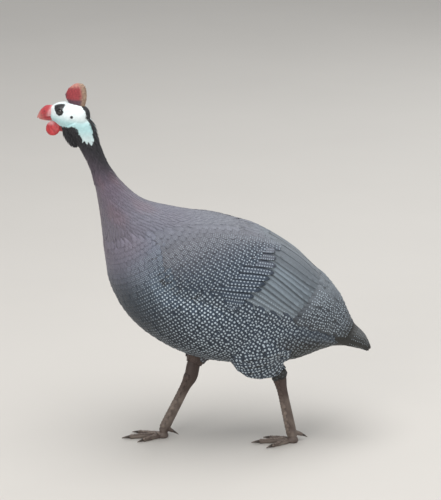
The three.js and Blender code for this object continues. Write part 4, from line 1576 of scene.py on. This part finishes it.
# Long coverts: where each starts, bows and ends, as place along the body and degrees, three times
GREATER_COVERTS = np.array([
    [6.95, -5, 7.3, 0, 7.55, 4],
    [6.75, -1, 7.25, 6, 7.58, 12],
    [6.65, 4, 7.1, 12, 7.62, 22],
    [6.62, 11, 7.1, 20, 7.6, 29],
    [6.66, 21, 7.15, 30, 7.6, 37],
    [6.7, 33, 7.15, 40, 7.5, 46],
    [6.75, 44, 7.1, 50, 7.36, 55],
], dtype=float)
GREATER_COUNT = 10


def edge_at(table, angle):
    return np.interp(np.degrees(angle), table[:, 0], table[:, 1])


def past_plain(at, angle):
    """How far along the body a place lies behind the unspotted feathers."""
    return at - edge_at(PLAIN_EDGE, angle)


def wing_low(at):
    """The wing's lower border at one place along the body, in degrees."""
    return wing_span(at)[0]


def above_wing_edge(at, angle):
    return np.degrees(angle) - np.array([wing_low(a) for a in at])


def dotted_set(length, half, pitch, radius, reach, first_seed, columns=2):
    """Three versions of one spotted vane."""
    return [dotted(length, half, pitch, radius, reach, first_seed + k, columns, odd)
            for k, odd in enumerate((0.0, 0.06, 0.03))]


SPACING = 8.0  # the row spacing that the spotted vanes are drawn for
RUMP_DOTS = dotted_set(20, 6.3, SPACING / 2.1, 0.98, 11, 17)
FAINT = dotted_set(20, 6.4, SPACING / 3, 0.42, 9, 1, 3)
FINE = dotted_set(20, 6.4, SPACING / 3, 0.68, 10, 4, 3)
MEDIUM = dotted_set(20, 6.2, SPACING / 2, 0.88, 11, 7)
BOLD = dotted_set(20, 6.2, SPACING / 2, 1.04, 11.5, 10)
STRONG = dotted_set(20, 6.2, SPACING / 2, 1.12, 11.5, 13)


def grow_neck():
    coat = Coat("neck_tufts", [TUFT, SPOT])
    tufts = [Pattern(9.5, 1.5, widest=0.35, point=1.3, around=5),
             Pattern(8.2, 1.2, widest=0.3, point=1.2, around=5)]
    at, angle = rows_over_body(0.3, 2.75, steady(-89), steady(89), steady(2.4))
    grow_rows(coat, [tufts], at, angle, BOTH, (0.15, 1.1), camber=0.25, thick=0.2, curl=2.0,
              keep=lambda p: face_share(p) < 0.3,
              sizes=lambda a, t: 0.62 + 0.38 * ramp(a, 0.8, 2))
    coat.build()


def grow_cape():
    coat = Coat("cape_feathers", [PLAIN_VANE, SPOT])
    vanes = [Pattern(13, 2.5, widest=0.45, point=1.6, around=6),
             Pattern(12, 2.2, widest=0.4, point=1.5, around=6)]
    at, angle = rows_over_body(2.4, 7.0, steady(-89), steady(89),
                               lambda a: 3.3 + 1.1 * ramp(a, 2.6, 4.2))
    kept = at < edge_at(PLAIN_EDGE, angle) + rng.uniform(-0.45, 0.3, len(at))

    def tone(a, t):
        towards_wing = ramp(past_plain(a, t), -0.7, 0.1) * ramp(np.degrees(t), 28, 45)
        return blend(ground_colour_and_shade(a, t), COVERT_PALE, 0.55 * towards_wing)

    grow_rows(coat, [vanes], at[kept], angle[kept], BOTH, (0.25, 1.2), camber=0.15, thick=0.14,
              jitter=0.05, calm=(1.0,), tone=tone,
              sizes=lambda a, t: 0.75 + 0.35 * ramp(a, 2.6, 4.2))
    coat.build()


def breast_gap(at):
    return 5.8 + 3.8 * float(ramp(at, 4.8, 7.0))


def covert_gap(at):
    return 6.2 + 2.0 * float(ramp(at, 4.8, 6.4))


def vane_shadow(u, v):
    return 0.8 + 0.2 * ramp(u, 0.45, 0.75)


def off_shin(places):
    """False on the bare part of the leading leg, which the rows of the belly would reach."""
    x, y, z = LEGS["right"]["tibia"]
    return (np.hypot(places[:, 0] - x, places[:, 1] - y) > 24) | (places[:, 2] > z + 14)


def grow_breast():
    at, angle = rows_over_body(
        4.6, 9.5, steady(-89), lambda a: wing_low(a) + 8 if 5 < a < 9 else 14, breast_gap, -40)
    kept = at > edge_at(PLAIN_EDGE, angle) - rng.uniform(-0.1, 0.5, len(at))
    at, angle = at[kept], angle[kept]
    size = np.array([breast_gap(a) for a in at]) / SPACING
    size = size * (0.78 + 0.22 * ramp(past_plain(at, angle), -0.3, 0.3))

    def size_class(a, t):
        slower = 0.3 * ramp(-np.sin(t), 0.2, 0.8)
        return np.clip(np.round(past_plain(a, t) / (0.42 + slower) - 0.2), 0, 4).astype(int)

    def beside_wing(a, t):
        below = 1 - ramp(np.abs(above_wing_edge(a, t) + 6), 4, 9)
        return below * ramp(a, 5.3, 5.9) * (1 - ramp(a, 7, 7.4))

    def dots(a, t):
        # Spots fade towards the vent; on the underside they are also dimmed as painted shade
        low = ramp(-np.sin(t), 0.3, 0.95)
        fading_and_shade = 0.3 * low * (1 - ramp(a, 6.3, 7.3)) + 0.4 * ramp(a, 8.0, 9.0)
        fading_and_shade = fading_and_shade + 0.2 * ramp(low, 0.45, 1)
        made = 0.32 + 0.26 * ramp(past_plain(a, t), 0.4, 1.8) - fading_and_shade + 0.2 * beside_wing(a, t)
        return np.maximum(made, 0.06)

    def tone(a, t):
        return ground_colour_and_shade(a, t) * (1 + 0.42 * beside_wing(a, t))[:, None]

    plans = [("breast_feathers", BOTH, at < 6.15)]
    plans += [(f"flank_feathers_{name}", (side,), at >= 6.15) for side, name in zip(BOTH, SIDES)]
    for name, sides, zone in plans:
        coat = Coat(name, [SPOTTED_VANE, SPOT])
        grow_rows(coat, [FAINT, FINE, MEDIUM, BOLD, STRONG], at[zone], angle[zone], sides, (0.5, 2.5),
                  keep=off_shin, sizes=steady(size[zone]), choose=size_class, jitter=0.035,
                  tilt_down=4, camber=0.3, mark=vane_shadow, tone=tone, dots=dots,
                  calm=(1.0, 0.6, 0.2, 0, 0),
                  sunk=lambda a, t: 0.75 * (1 - ramp(past_plain(a, t), -0.4, 0.35)))
        coat.build()


def grow_coverts():
    at, angle = rows_over_body(
        4.6, 7.6, lambda a: wing_low(a) if a > 4.95 else 10, steady(89), covert_gap, 25)
    kept = at < edge_at(COVERT_EDGE, angle) - COVERT_REACH
    kept = kept & (at > edge_at(PLAIN_EDGE, angle) - 0.15)
    at, angle = at[kept], angle[kept]
    size = np.array([covert_gap(a) for a in at]) / SPACING

    def strength(a, t):
        return past_plain(a, t) / (edge_at(COVERT_STRONG, t) - edge_at(PLAIN_EDGE, t))

    def size_class(a, t):
        return np.clip(np.floor(3.6 * strength(a, t)), 0, 3).astype(int)

    def tone(a, t):
        made = blend(COVERT_PALE, COVERT_DARK, ramp(strength(a, t), 0.25, 1.1))
        made = blend(blend(ground_colour_and_shade(a, t), COVERT_PALE, 0.5), made, ramp(strength(a, t), -0.1, 0.35))
        made = blend(made, TERTIAL_GREY, 0.8 * ramp(np.degrees(t), 55, 70) * ramp(a, 6.5, 6.95))
        # Painted shadow along the wing's lower border: the coverts just above it are darker
        rim = (1 - ramp(above_wing_edge(a, t), 2, 12)) * ramp(a, 5.1, 5.7)
        return made * (1 - 0.55 * rim)[:, None]

    def dots(a, t):
        return 0.24 + 0.22 * ramp(strength(a, t), 0.1, 1.2)

    for side, name in zip(BOTH, SIDES):
        coat = Coat(f"wing_coverts_{name}", [SPOTTED_VANE, SPOT])
        add_greater_coverts(coat, side)
        grow_rows(coat, [FAINT, FINE, MEDIUM, BOLD], at, angle, (side,), (0.5, 2.3),
                  choose=size_class, sizes=steady(size), jitter=0.02, camber=0.3, tone=tone,
                  mark=vane_shadow, dots=dots, calm=(1.0, 0.6, 0.2, 0))
        coat.build()


def add_greater_coverts(coat, side):
    """Long bowed feathers over the roots of the flight feathers, with two rows of spots each."""
    places = spline(GREATER_COVERTS, np.linspace(0, len(GREATER_COVERTS) - 1, GREATER_COUNT))
    rows = np.arange(0.12, 0.97, 0.058)
    spots = [(u, side * 0.6, 0.98) for u in rows if u < 0.93]
    spots += [(u + 0.02, -side * 0.12, 0.92) for u in rows if u < 0.93]
    quill = Pattern(62, 5.6, spots, widest=0.15, root=0.8, point=2.8, around=12,
                    lines=(-side * 0.75, -side * 0.5, -side * 0.36, side * 0.9))

    # Painted shade on the side of each quill that lies under its neighbour, and a thin darker line along
    # its raised edge
    def overlap_shade(depth):
        def mark(u, v):
            lower, upper = 1 - ramp(side * v, -0.52, -0.34), ramp(side * v, 0.86, 0.96)
            return (1 - depth * lower) * (1 - 0.25 * upper)
        return mark

    for k, (at0, turn0, at1, turn1, at2, turn2) in enumerate(places):
        routes, bowed = routes_over_body([(at0, turn0)], [(at1, turn1)], [(at2, turn2)], side)
        lattice, normals = lay_along(routes, np.full(1, 5.8))
        turn = math.radians(bowed[0, LONG_STATIONS // 2, 1])
        shares = np.array([[bake_across(turn, side), 0.56 + 0.006 * k]])
        high = float(ramp(k / len(places), 0.45, 0.95))
        tone = blend(COVERT_DARK, COVERT_PALE, 0.6 * high)[None] * rng.uniform(1.0, 1.25)
        coat.add(quill, lattice, normals, (0.5, 2.6), tone, shares, camber=0.35, tilt=side * 0.7,
                 thick=0.3, mark=overlap_shade(0.58 - 0.34 * high), dots=0.5 - 0.2 * high)


def routes_over_body(starts, middles, ends, side):
    """Curved routes on the body, each given as places (along, degrees) at its start, middle, end."""
    share = np.linspace(0, 1, LONG_STATIONS)[None, :, None]
    starts, middles, ends = (np.asarray(p, float)[:, None] for p in (starts, middles, ends))
    pull = 4 * middles - starts - ends
    bowed = starts * (1 - share) ** 2 + pull * share * (1 - share) + ends * share ** 2
    at, angle = bowed[..., 0].ravel(), np.radians(bowed[..., 1].ravel())
    centre = body_axis(at)
    surface_place = on_side(body_point(at, angle), side)
    places, _, met = ground.cast(centre, unit(surface_place - centre))
    places = np.where(met[:, None], places, surface_place)
    return places.reshape(-1, LONG_STATIONS, 3), bowed


FLIGHT_LINES = (-0.8, -0.55, -0.36, -0.2, 0.2, 0.36, 0.55, 0.8)
FLIGHT_ROOT = 6.7  # where the long feathers start and bow along the body
FLIGHT_BOW = 7.75
# Degrees round the body at each long feather's start, bow and end
TERTIALS = np.array([(84, 83, 80), (76, 75, 72), (67, 65, 63), (60, 57, 57)], float)
SECONDARIES = np.array([(53, 49.5, 50), (38, 36.5, 29), (23, 23, 16), (7, 11, 8)], float)
SECONDARY_COUNT = 12
# How dark the line between two quills is, from the highest secondary down: painted shade on the side of
# each quill that lies under the one above
QUILL_SHADE = (0.2, 0.5, 0.3, 0.4, 0.62, 0.25, 0.45, 0.62, 0.35, 0.55, 0.4, 0.45)
BARRED_COUNT = 4  # the lowest feathers have a row of small spots


def grow_flight_feathers():
    share = np.linspace(0, len(SECONDARIES) - 1, SECONDARY_COUNT)
    places = np.concatenate([TERTIALS, spline(SECONDARIES, share)])
    last = len(places) - 1
    vane = dict(widest=0.12, root=0.8, around=14, lines=FLIGHT_LINES)
    for side, name in zip(BOTH, SIDES):
        coat = Coat(f"flight_feathers_{name}", [FLIGHT_VANE, SPOT])
        quill = Pattern(110, 7.4, point=3.2, **vane)
        spots = [(u, side * 0.68, 0.6) for u in np.arange(0.1, 0.93, 0.024)]
        barred = Pattern(110, 7.4, spots, point=3.0, spot_sides=6, **vane)

        # Painted shade on the side of each quill that lies under the next, also read as its darker inner
        # web, with a thin darker line along its raised edge
        def overlap_shade(depth):
            def mark(u, v):
                return 1 - depth * (1 - ramp(side * v, 0.28, 0.56)) - 0.12 * ramp(side * v, 0.86, 0.98)
            return mark

        # Painted shade in the groove along the back between the two wings
        def ridge_groove_shade(u, v):
            return 1 - 0.5 * ramp(-side * v, 0.45, 0.75)

        for k in range(last, -1, -1):
            f = k / last
            tertial = k < len(TERTIALS)
            reach = 8.68 + 0.1 * math.sin(math.pi * f) + 0.16 * ramp(f, 0.35, 0.8)
            reach = reach + rng.uniform(-0.14, 0.04)
            start, bow, end = places[k]
            routes, bowed = routes_over_body(
                [(FLIGHT_ROOT, start)], [(FLIGHT_BOW, bow)], [(reach, end)], side)
            lattice, normals = lay_along(routes, np.full(1, 9.6 if tertial else 7.4))
            tone = blend(FLIGHT_GREY, TERTIAL_GREY, ramp(1 - f, 0.55, 0.85))[None]
            tone = tone * rng.uniform(0.9, 1.08)
            turn = math.radians(bowed[0, LONG_STATIONS // 2, 1])
            shares = np.array([[bake_across(turn, side), 0.6 + 0.012 * k]])
            if k == 0:
                mark = ridge_groove_shade
            else:
                mark = overlap_shade(0.1 if tertial else QUILL_SHADE[k - len(TERTIALS)])
            coat.add(quill if k <= last - BARRED_COUNT else barred, lattice, normals,
                     (0.5, 2.3 - 0.9 * f), tone, shares, camber=0.2, thick=0.35, mark=mark, dots=0.35,
                     tilt=side * (0.2 if tertial else 0.6))
        coat.build()


def grow_rump():
    coat = Coat("rump_feathers", [SPOTTED_VANE, SPOT])
    at, angle = rows_over_body(8.45, 9.72, steady(12), steady(89), steady(6.6), 50)

    def tone(a, t):
        made = blend(TERTIAL_GREY, RUMP_GREY, ramp(a + 0.4 - np.degrees(t) / 90, 8.3, 8.8))
        return blend(made, TAIL_DARK, ramp(a - 0.15 * np.sin(t), 9.15, 9.75))

    def dots(a, t):
        return (0.5 - 0.2 * ramp(np.degrees(t), 50, 75)) * (1 - 0.6 * ramp(a, 9.2, 9.75))

    grow_rows(coat, [FAINT, RUMP_DOTS], at, angle, BOTH, (1.3, 5.4), jitter=0.1, camber=0.3,
              calm=(0.8, 0.3), sizes=steady(0.9), tone=tone, mark=vane_shadow, dots=dots,
              choose=lambda a, t: ((a > 8.9) | (np.degrees(t) < 48)).astype(int))
    at, angle = rows_over_body(9.3, 9.6, steady(-89), steady(14), steady(8.0), -40)
    grow_rows(coat, [MEDIUM], at, angle, BOTH, (0.5, 2.4), jitter=0.06, camber=0.3, dots=steady(0.12))
    coat.build()


TAIL_PAST = 4.0  # how far the long tail feathers reach past the skin, and how far they hang down
TAIL_DROP = 3.2
TAIL_TIP = 11.97  # place along the body where the upper tail feathers end


def reach_past(lattice, normals, length, drop):
    """Draws the last stations of long feathers straight on, past the end of the skin, and down."""
    stations = lattice.shape[1]
    last = stations - 4
    way = unit(lattice[:, last] - lattice[:, last - 2])
    full = np.linalg.norm(lattice[:, -1] - lattice[:, last], axis=-1).mean() + length
    for k in range(last + 1, stations):
        share = (k - last) / (stations - 1 - last)
        straight = lattice[:, last] + way * full * share
        middle = straight[:, 1:2]
        lattice[:, k] = middle + (straight - middle) * (1 - 0.25 * share)
        lattice[:, k] -= UP * drop * share
        normals[:, k] = normals[:, last]


def grow_tail():
    coat = Coat("tail_feathers", [FLIGHT_VANE, SPOT])
    draw = np.random.default_rng(31)
    spots = [(u, v + draw.uniform(-0.06, 0.06), 0.75)
             for u in np.arange(0.4, 0.95, 0.05) for v in (-0.5, 0.5)]
    pattern = Pattern(84, 8.0, spots, widest=0.35, root=0.5, point=2.0, around=14,
                      lines=(-0.5, 0.5), spot_sides=6)
    under = dict(start=9.55, shorter=0.15, past=0.6 * TAIL_PAST, drop=0, lift=(0.6, 1.6), tilt=0.3)
    over = dict(start=9.62, shorter=0, past=TAIL_PAST, drop=TAIL_DROP, lift=(2.2, 5.6), tilt=-0.3)
    for side in BOTH:
        for plan, angles in ((under, np.linspace(-80, -6, 6)), (over, np.linspace(6, 84, 7))):
            for degrees in angles:
                start = plan["start"]
                end = TAIL_TIP - 0.012 * (90 - abs(degrees)) / 10 - plan["shorter"]
                routes, _ = routes_over_body([(start, degrees)], [((start + end) / 2, degrees)],
                                             [(end, degrees * 0.97)], side)
                lattice, normals = lay_along(routes, np.full(1, 7.5))
                reach_past(lattice, normals, plan["past"], plan["drop"])
                shares = np.array([[bake_across(math.radians(degrees), side), 0.88]])
                tone = TAIL_DARK[None] * draw.uniform(0.85, 1.1)
                coat.add(pattern, lattice, normals, plan["lift"], tone, shares, camber=0.35,
                         tilt=side * plan["tilt"], thick=0.35, dots=0.38)
    coat.build()


THIGH_GAP = 8.8  # distance between the thigh's rows at its thick end
# Where the rows end along each thigh, and between which places its feathers turn brown
THIGH_ROWS = {"left": (2.93, (2.65, 2.9)), "right": (2.45, (1.7, 2.25))}


def grow_thighs():
    for leg_name, leg in LEGS.items():
        coat = Coat(f"thigh_feathers_{leg_name}", [SPOTTED_VANE, SPOT])
        stops = np.array(thigh_stops(leg), float)
        last, browning = THIGH_ROWS[leg_name]
        row = 0
        at = 0.55
        while at < last:
            size = 1 - 0.42 * float(ramp(at, 1.9, 2.9))
            grow_thigh_row(coat, stops, at, row, size, float(ramp(at, *browning)))
            pace = np.linalg.norm(spline(stops, at + 0.05)[:3] - spline(stops, at - 0.05)[:3]) / 0.1
            at += THIGH_GAP * size / pace
            row += 1
        coat.build()


def grow_thigh_row(coat, stops, at, row, size, bare):
    """One ring of feathers round a thigh, where its own skin is the nearest."""
    here, heading, across, deep_axis = limb_frame(stops, at)
    around = 2 * np.pi * math.sqrt((here[3] ** 2 + here[4] ** 2) / 2)
    count = max(8, int(around / (THIGH_GAP * size)))
    turn = (np.arange(count) + 0.5 * (row % 2)) * 2 * np.pi / count
    cosine, sine = np.cos(turn)[:, None], np.sin(turn)[:, None]
    outward = unit(deep_axis * cosine * here[4] + across * sine * here[3])
    rim = here[:3] + deep_axis * (here[3] - COAT_BODY) * cosine + across * (here[4] - COAT_BODY) * sine
    places, normals = ground.nearest(rim)
    good = (np.linalg.norm(places - rim, axis=1) < 2.6) & ((normals * outward).sum(1) > 0.3)
    picked = places[good]
    number = len(picked)
    if not number:
        return
    lie = np.repeat((heading + np.array([0.12, 0, -0.1]))[None], number, 0)
    lie = unit(lie + rng.normal(0, 0.08, (number, 3)))
    tones = blend(FLANK_DARK, LEG_BROWN * 0.85, bare) * rng.uniform(0.9, 1.15, (number, 1))
    shares = np.stack([turn[good] / (2 * np.pi), np.full(number, 0.1 + at * 0.25)], 1)
    variant = rng.integers(0, 3, number)
    lift = (0.4, (2.8 * size + 0.2) * (1 - 0.6 * bare))
    for w, pattern in enumerate(STRONG):
        pick = np.flatnonzero(variant == w)
        if not len(pick):
            continue
        grown = np.full(len(pick), 1.2 * size)
        lattice, leans = lay_on_skin(picked[pick], lie[pick], pattern.length * grown, pattern.half * grown)
        coat.add(pattern, lattice, leans, lift, tones[pick], shares[pick], camber=0.4 * size,
                 dots=0.62 * (1 - bare))


SCALE_ROWS = 17


def grow_scales():
    """Broad plates down the front of each shank and across the top of each toe."""
    plate = Pattern(7.6, 4.6, widest=0.55, root=0.7, point=2.6, around=8)
    small = Pattern(5.0, 3.4, widest=0.55, root=0.8, point=3.0, around=8)
    for leg_name, leg in LEGS.items():
        coat = Coat(f"leg_scales_{leg_name}", [LEG_SCALE])
        hock, foot = np.array(leg["hock"], float), np.array(leg["ball"], float)
        down = unit(foot - hock)
        front = unit(np.array([-1.0, 0, 0]) + down * down[0])
        beside = np.cross(down, front)
        roots = []
        for k in range(SCALE_ROWS):
            share = -0.03 + 0.93 * k / SCALE_ROWS
            for turn in (-0.62, 0.0, 0.62) if k % 2 == 0 else (-0.31, 0.31):
                out = front * math.cos(turn) + beside * math.sin(turn)
                roots.append(hock + (foot - hock) * share + out * 6.6)
        add_scales(coat, plate, roots, down, 0.0)
        for n, (_, spread, reach, width) in enumerate(TOE_PLAN):
            heading = math.radians(leg["heading"] - leg["inward"] * spread)
            forward = np.array([math.cos(heading), math.sin(heading), 0])
            beginning = foot * [1, 1, 0]
            roots = [beginning + forward * along + UP * 9 * width
                     for along in np.arange(5, TOE_LENGTH * reach - 2, 3.3)]
            add_scales(coat, small, roots, forward, 0.2 + 0.2 * n)
        coat.build()


def add_scales(coat, pattern, roots, heading, share):
    count = len(roots)
    roots, headings = np.array(roots), np.array([heading] * count)
    lattice, normals = lay_on_skin(
        roots, headings, np.full(count, pattern.length), np.full(count, pattern.half))
    tones = blend(LEG_BROWN, LEG_PALE, lower_leg(roots[:, 2]) * rng.uniform(0.55, 1, count))
    tones = tones * rng.uniform(0.92, 1.1, (count, 1))
    shares = np.stack([np.full(count, 0.05 + share), 0.1 + 0.8 * np.arange(count) / count], 1)
    coat.add(pattern, lattice, normals, (0.1, 1.0), tones, shares, camber=0.35, thick=0.3,
             root_shade=0.6)


# The making: skin, horn and eyes first, then the coat
skin = join_skin()
finish_skin(skin)
bill("upper_bill", "bill_upper", UPPER_BILL_CUTS, 0.25, True)
bill("lower_bill", "bill_lower", LOWER_BILL_CUTS, -0.15, False)
casque()
for side_name, side_sign in zip(SIDES, (1, -1)):
    eyeball(side_name, side_sign)
for side_name, side_leg in LEGS.items():
    claws(side_name, side_leg)
ground = Ground(skin.data)
grow_scales()
grow_neck()
grow_cape()
grow_breast()
grow_coverts()
grow_flight_feathers()
grow_rump()
grow_tail()
grow_thighs()

# Camera at the photograph's angle, floor and soft studio light
IMAGE = (441, 500)
CAMERA_TURN = math.radians(-9)
CAMERA_CLIMB = math.radians(16)
CAMERA_DISTANCE = 3.5
CAMERA_TARGET = Vector((0.01725, 0.0, 0.262))
MM_PER_PIXEL = 1.30
SENSOR = 36.0

camera = placed("camera", bpy.data.cameras.new("camera"))
back = Vector((
    math.sin(CAMERA_TURN) * math.cos(CAMERA_CLIMB),
    -math.cos(CAMERA_TURN) * math.cos(CAMERA_CLIMB),
    math.sin(CAMERA_CLIMB),
))
camera.location = CAMERA_TARGET + back * CAMERA_DISTANCE
camera.rotation_mode = "QUATERNION"
camera.rotation_quaternion = (-back).to_track_quat("-Z", "Y")
camera.data.sensor_width = SENSOR
camera.data.lens = CAMERA_DISTANCE * 1000 / MM_PER_PIXEL / IMAGE[1] * SENSOR
camera.data.clip_start = 0.05
camera.data.clip_end = 50
bpy.context.scene.camera = camera


def studio_floor():
    mesh = bpy.data.meshes.new("floor")
    side = 8.0
    corners = [(-side, -side, 0), (side, -side, 0), (side, side, 0), (-side, side, 0)]
    mesh.from_pydata(corners, [], [(0, 1, 2, 3)])
    floor = placed("floor", mesh)
    material = bpy.data.materials.new("pale_floor")
    material.use_nodes = True
    tree = material.node_tree
    shader = tree.nodes["Principled BSDF"]
    shader.inputs["Roughness"].default_value = 0.8
    uneven = place_group(tree, MOTTLE, Fineness=3.0, Amount=0.03)
    uneven.inputs["Colour"].default_value = (0.62, 0.59, 0.55, 1)
    tree.links.new(uneven.outputs["Colour"], shader.inputs["Base Color"])
    mesh.materials.append(material)


def soft_light(name, place, size, power, tint=(1, 1, 1)):
    data = bpy.data.lights.new(name, "AREA")
    data.shape = "DISK"
    data.size = size
    data.energy = power
    data.color = tint
    light = placed(name, data)
    light.location = place
    light.rotation_mode = "QUATERNION"
    light.rotation_quaternion = (CAMERA_TARGET - Vector(place)).to_track_quat("-Z", "Y")


studio_floor()
soft_light("sky_panel", (0.1, -0.4, 2.4), 2.6, 48)
soft_light("front_panel", (-1.6, -2.2, 1.5), 1.6, 20, (1.0, 0.98, 0.95))
soft_light("rear_panel", (1.6, 1.8, 1.6), 1.6, 14, (0.95, 0.98, 1.0))
world = bpy.data.worlds.new("studio")
world.use_nodes = True
world.node_tree.nodes["Background"].inputs["Color"].default_value = (0.86, 0.88, 0.9, 1)
world.node_tree.nodes["Background"].inputs["Strength"].default_value = 0.55
bpy.context.scene.world = world
bpy.context.scene.view_settings.view_transform = "Standard"
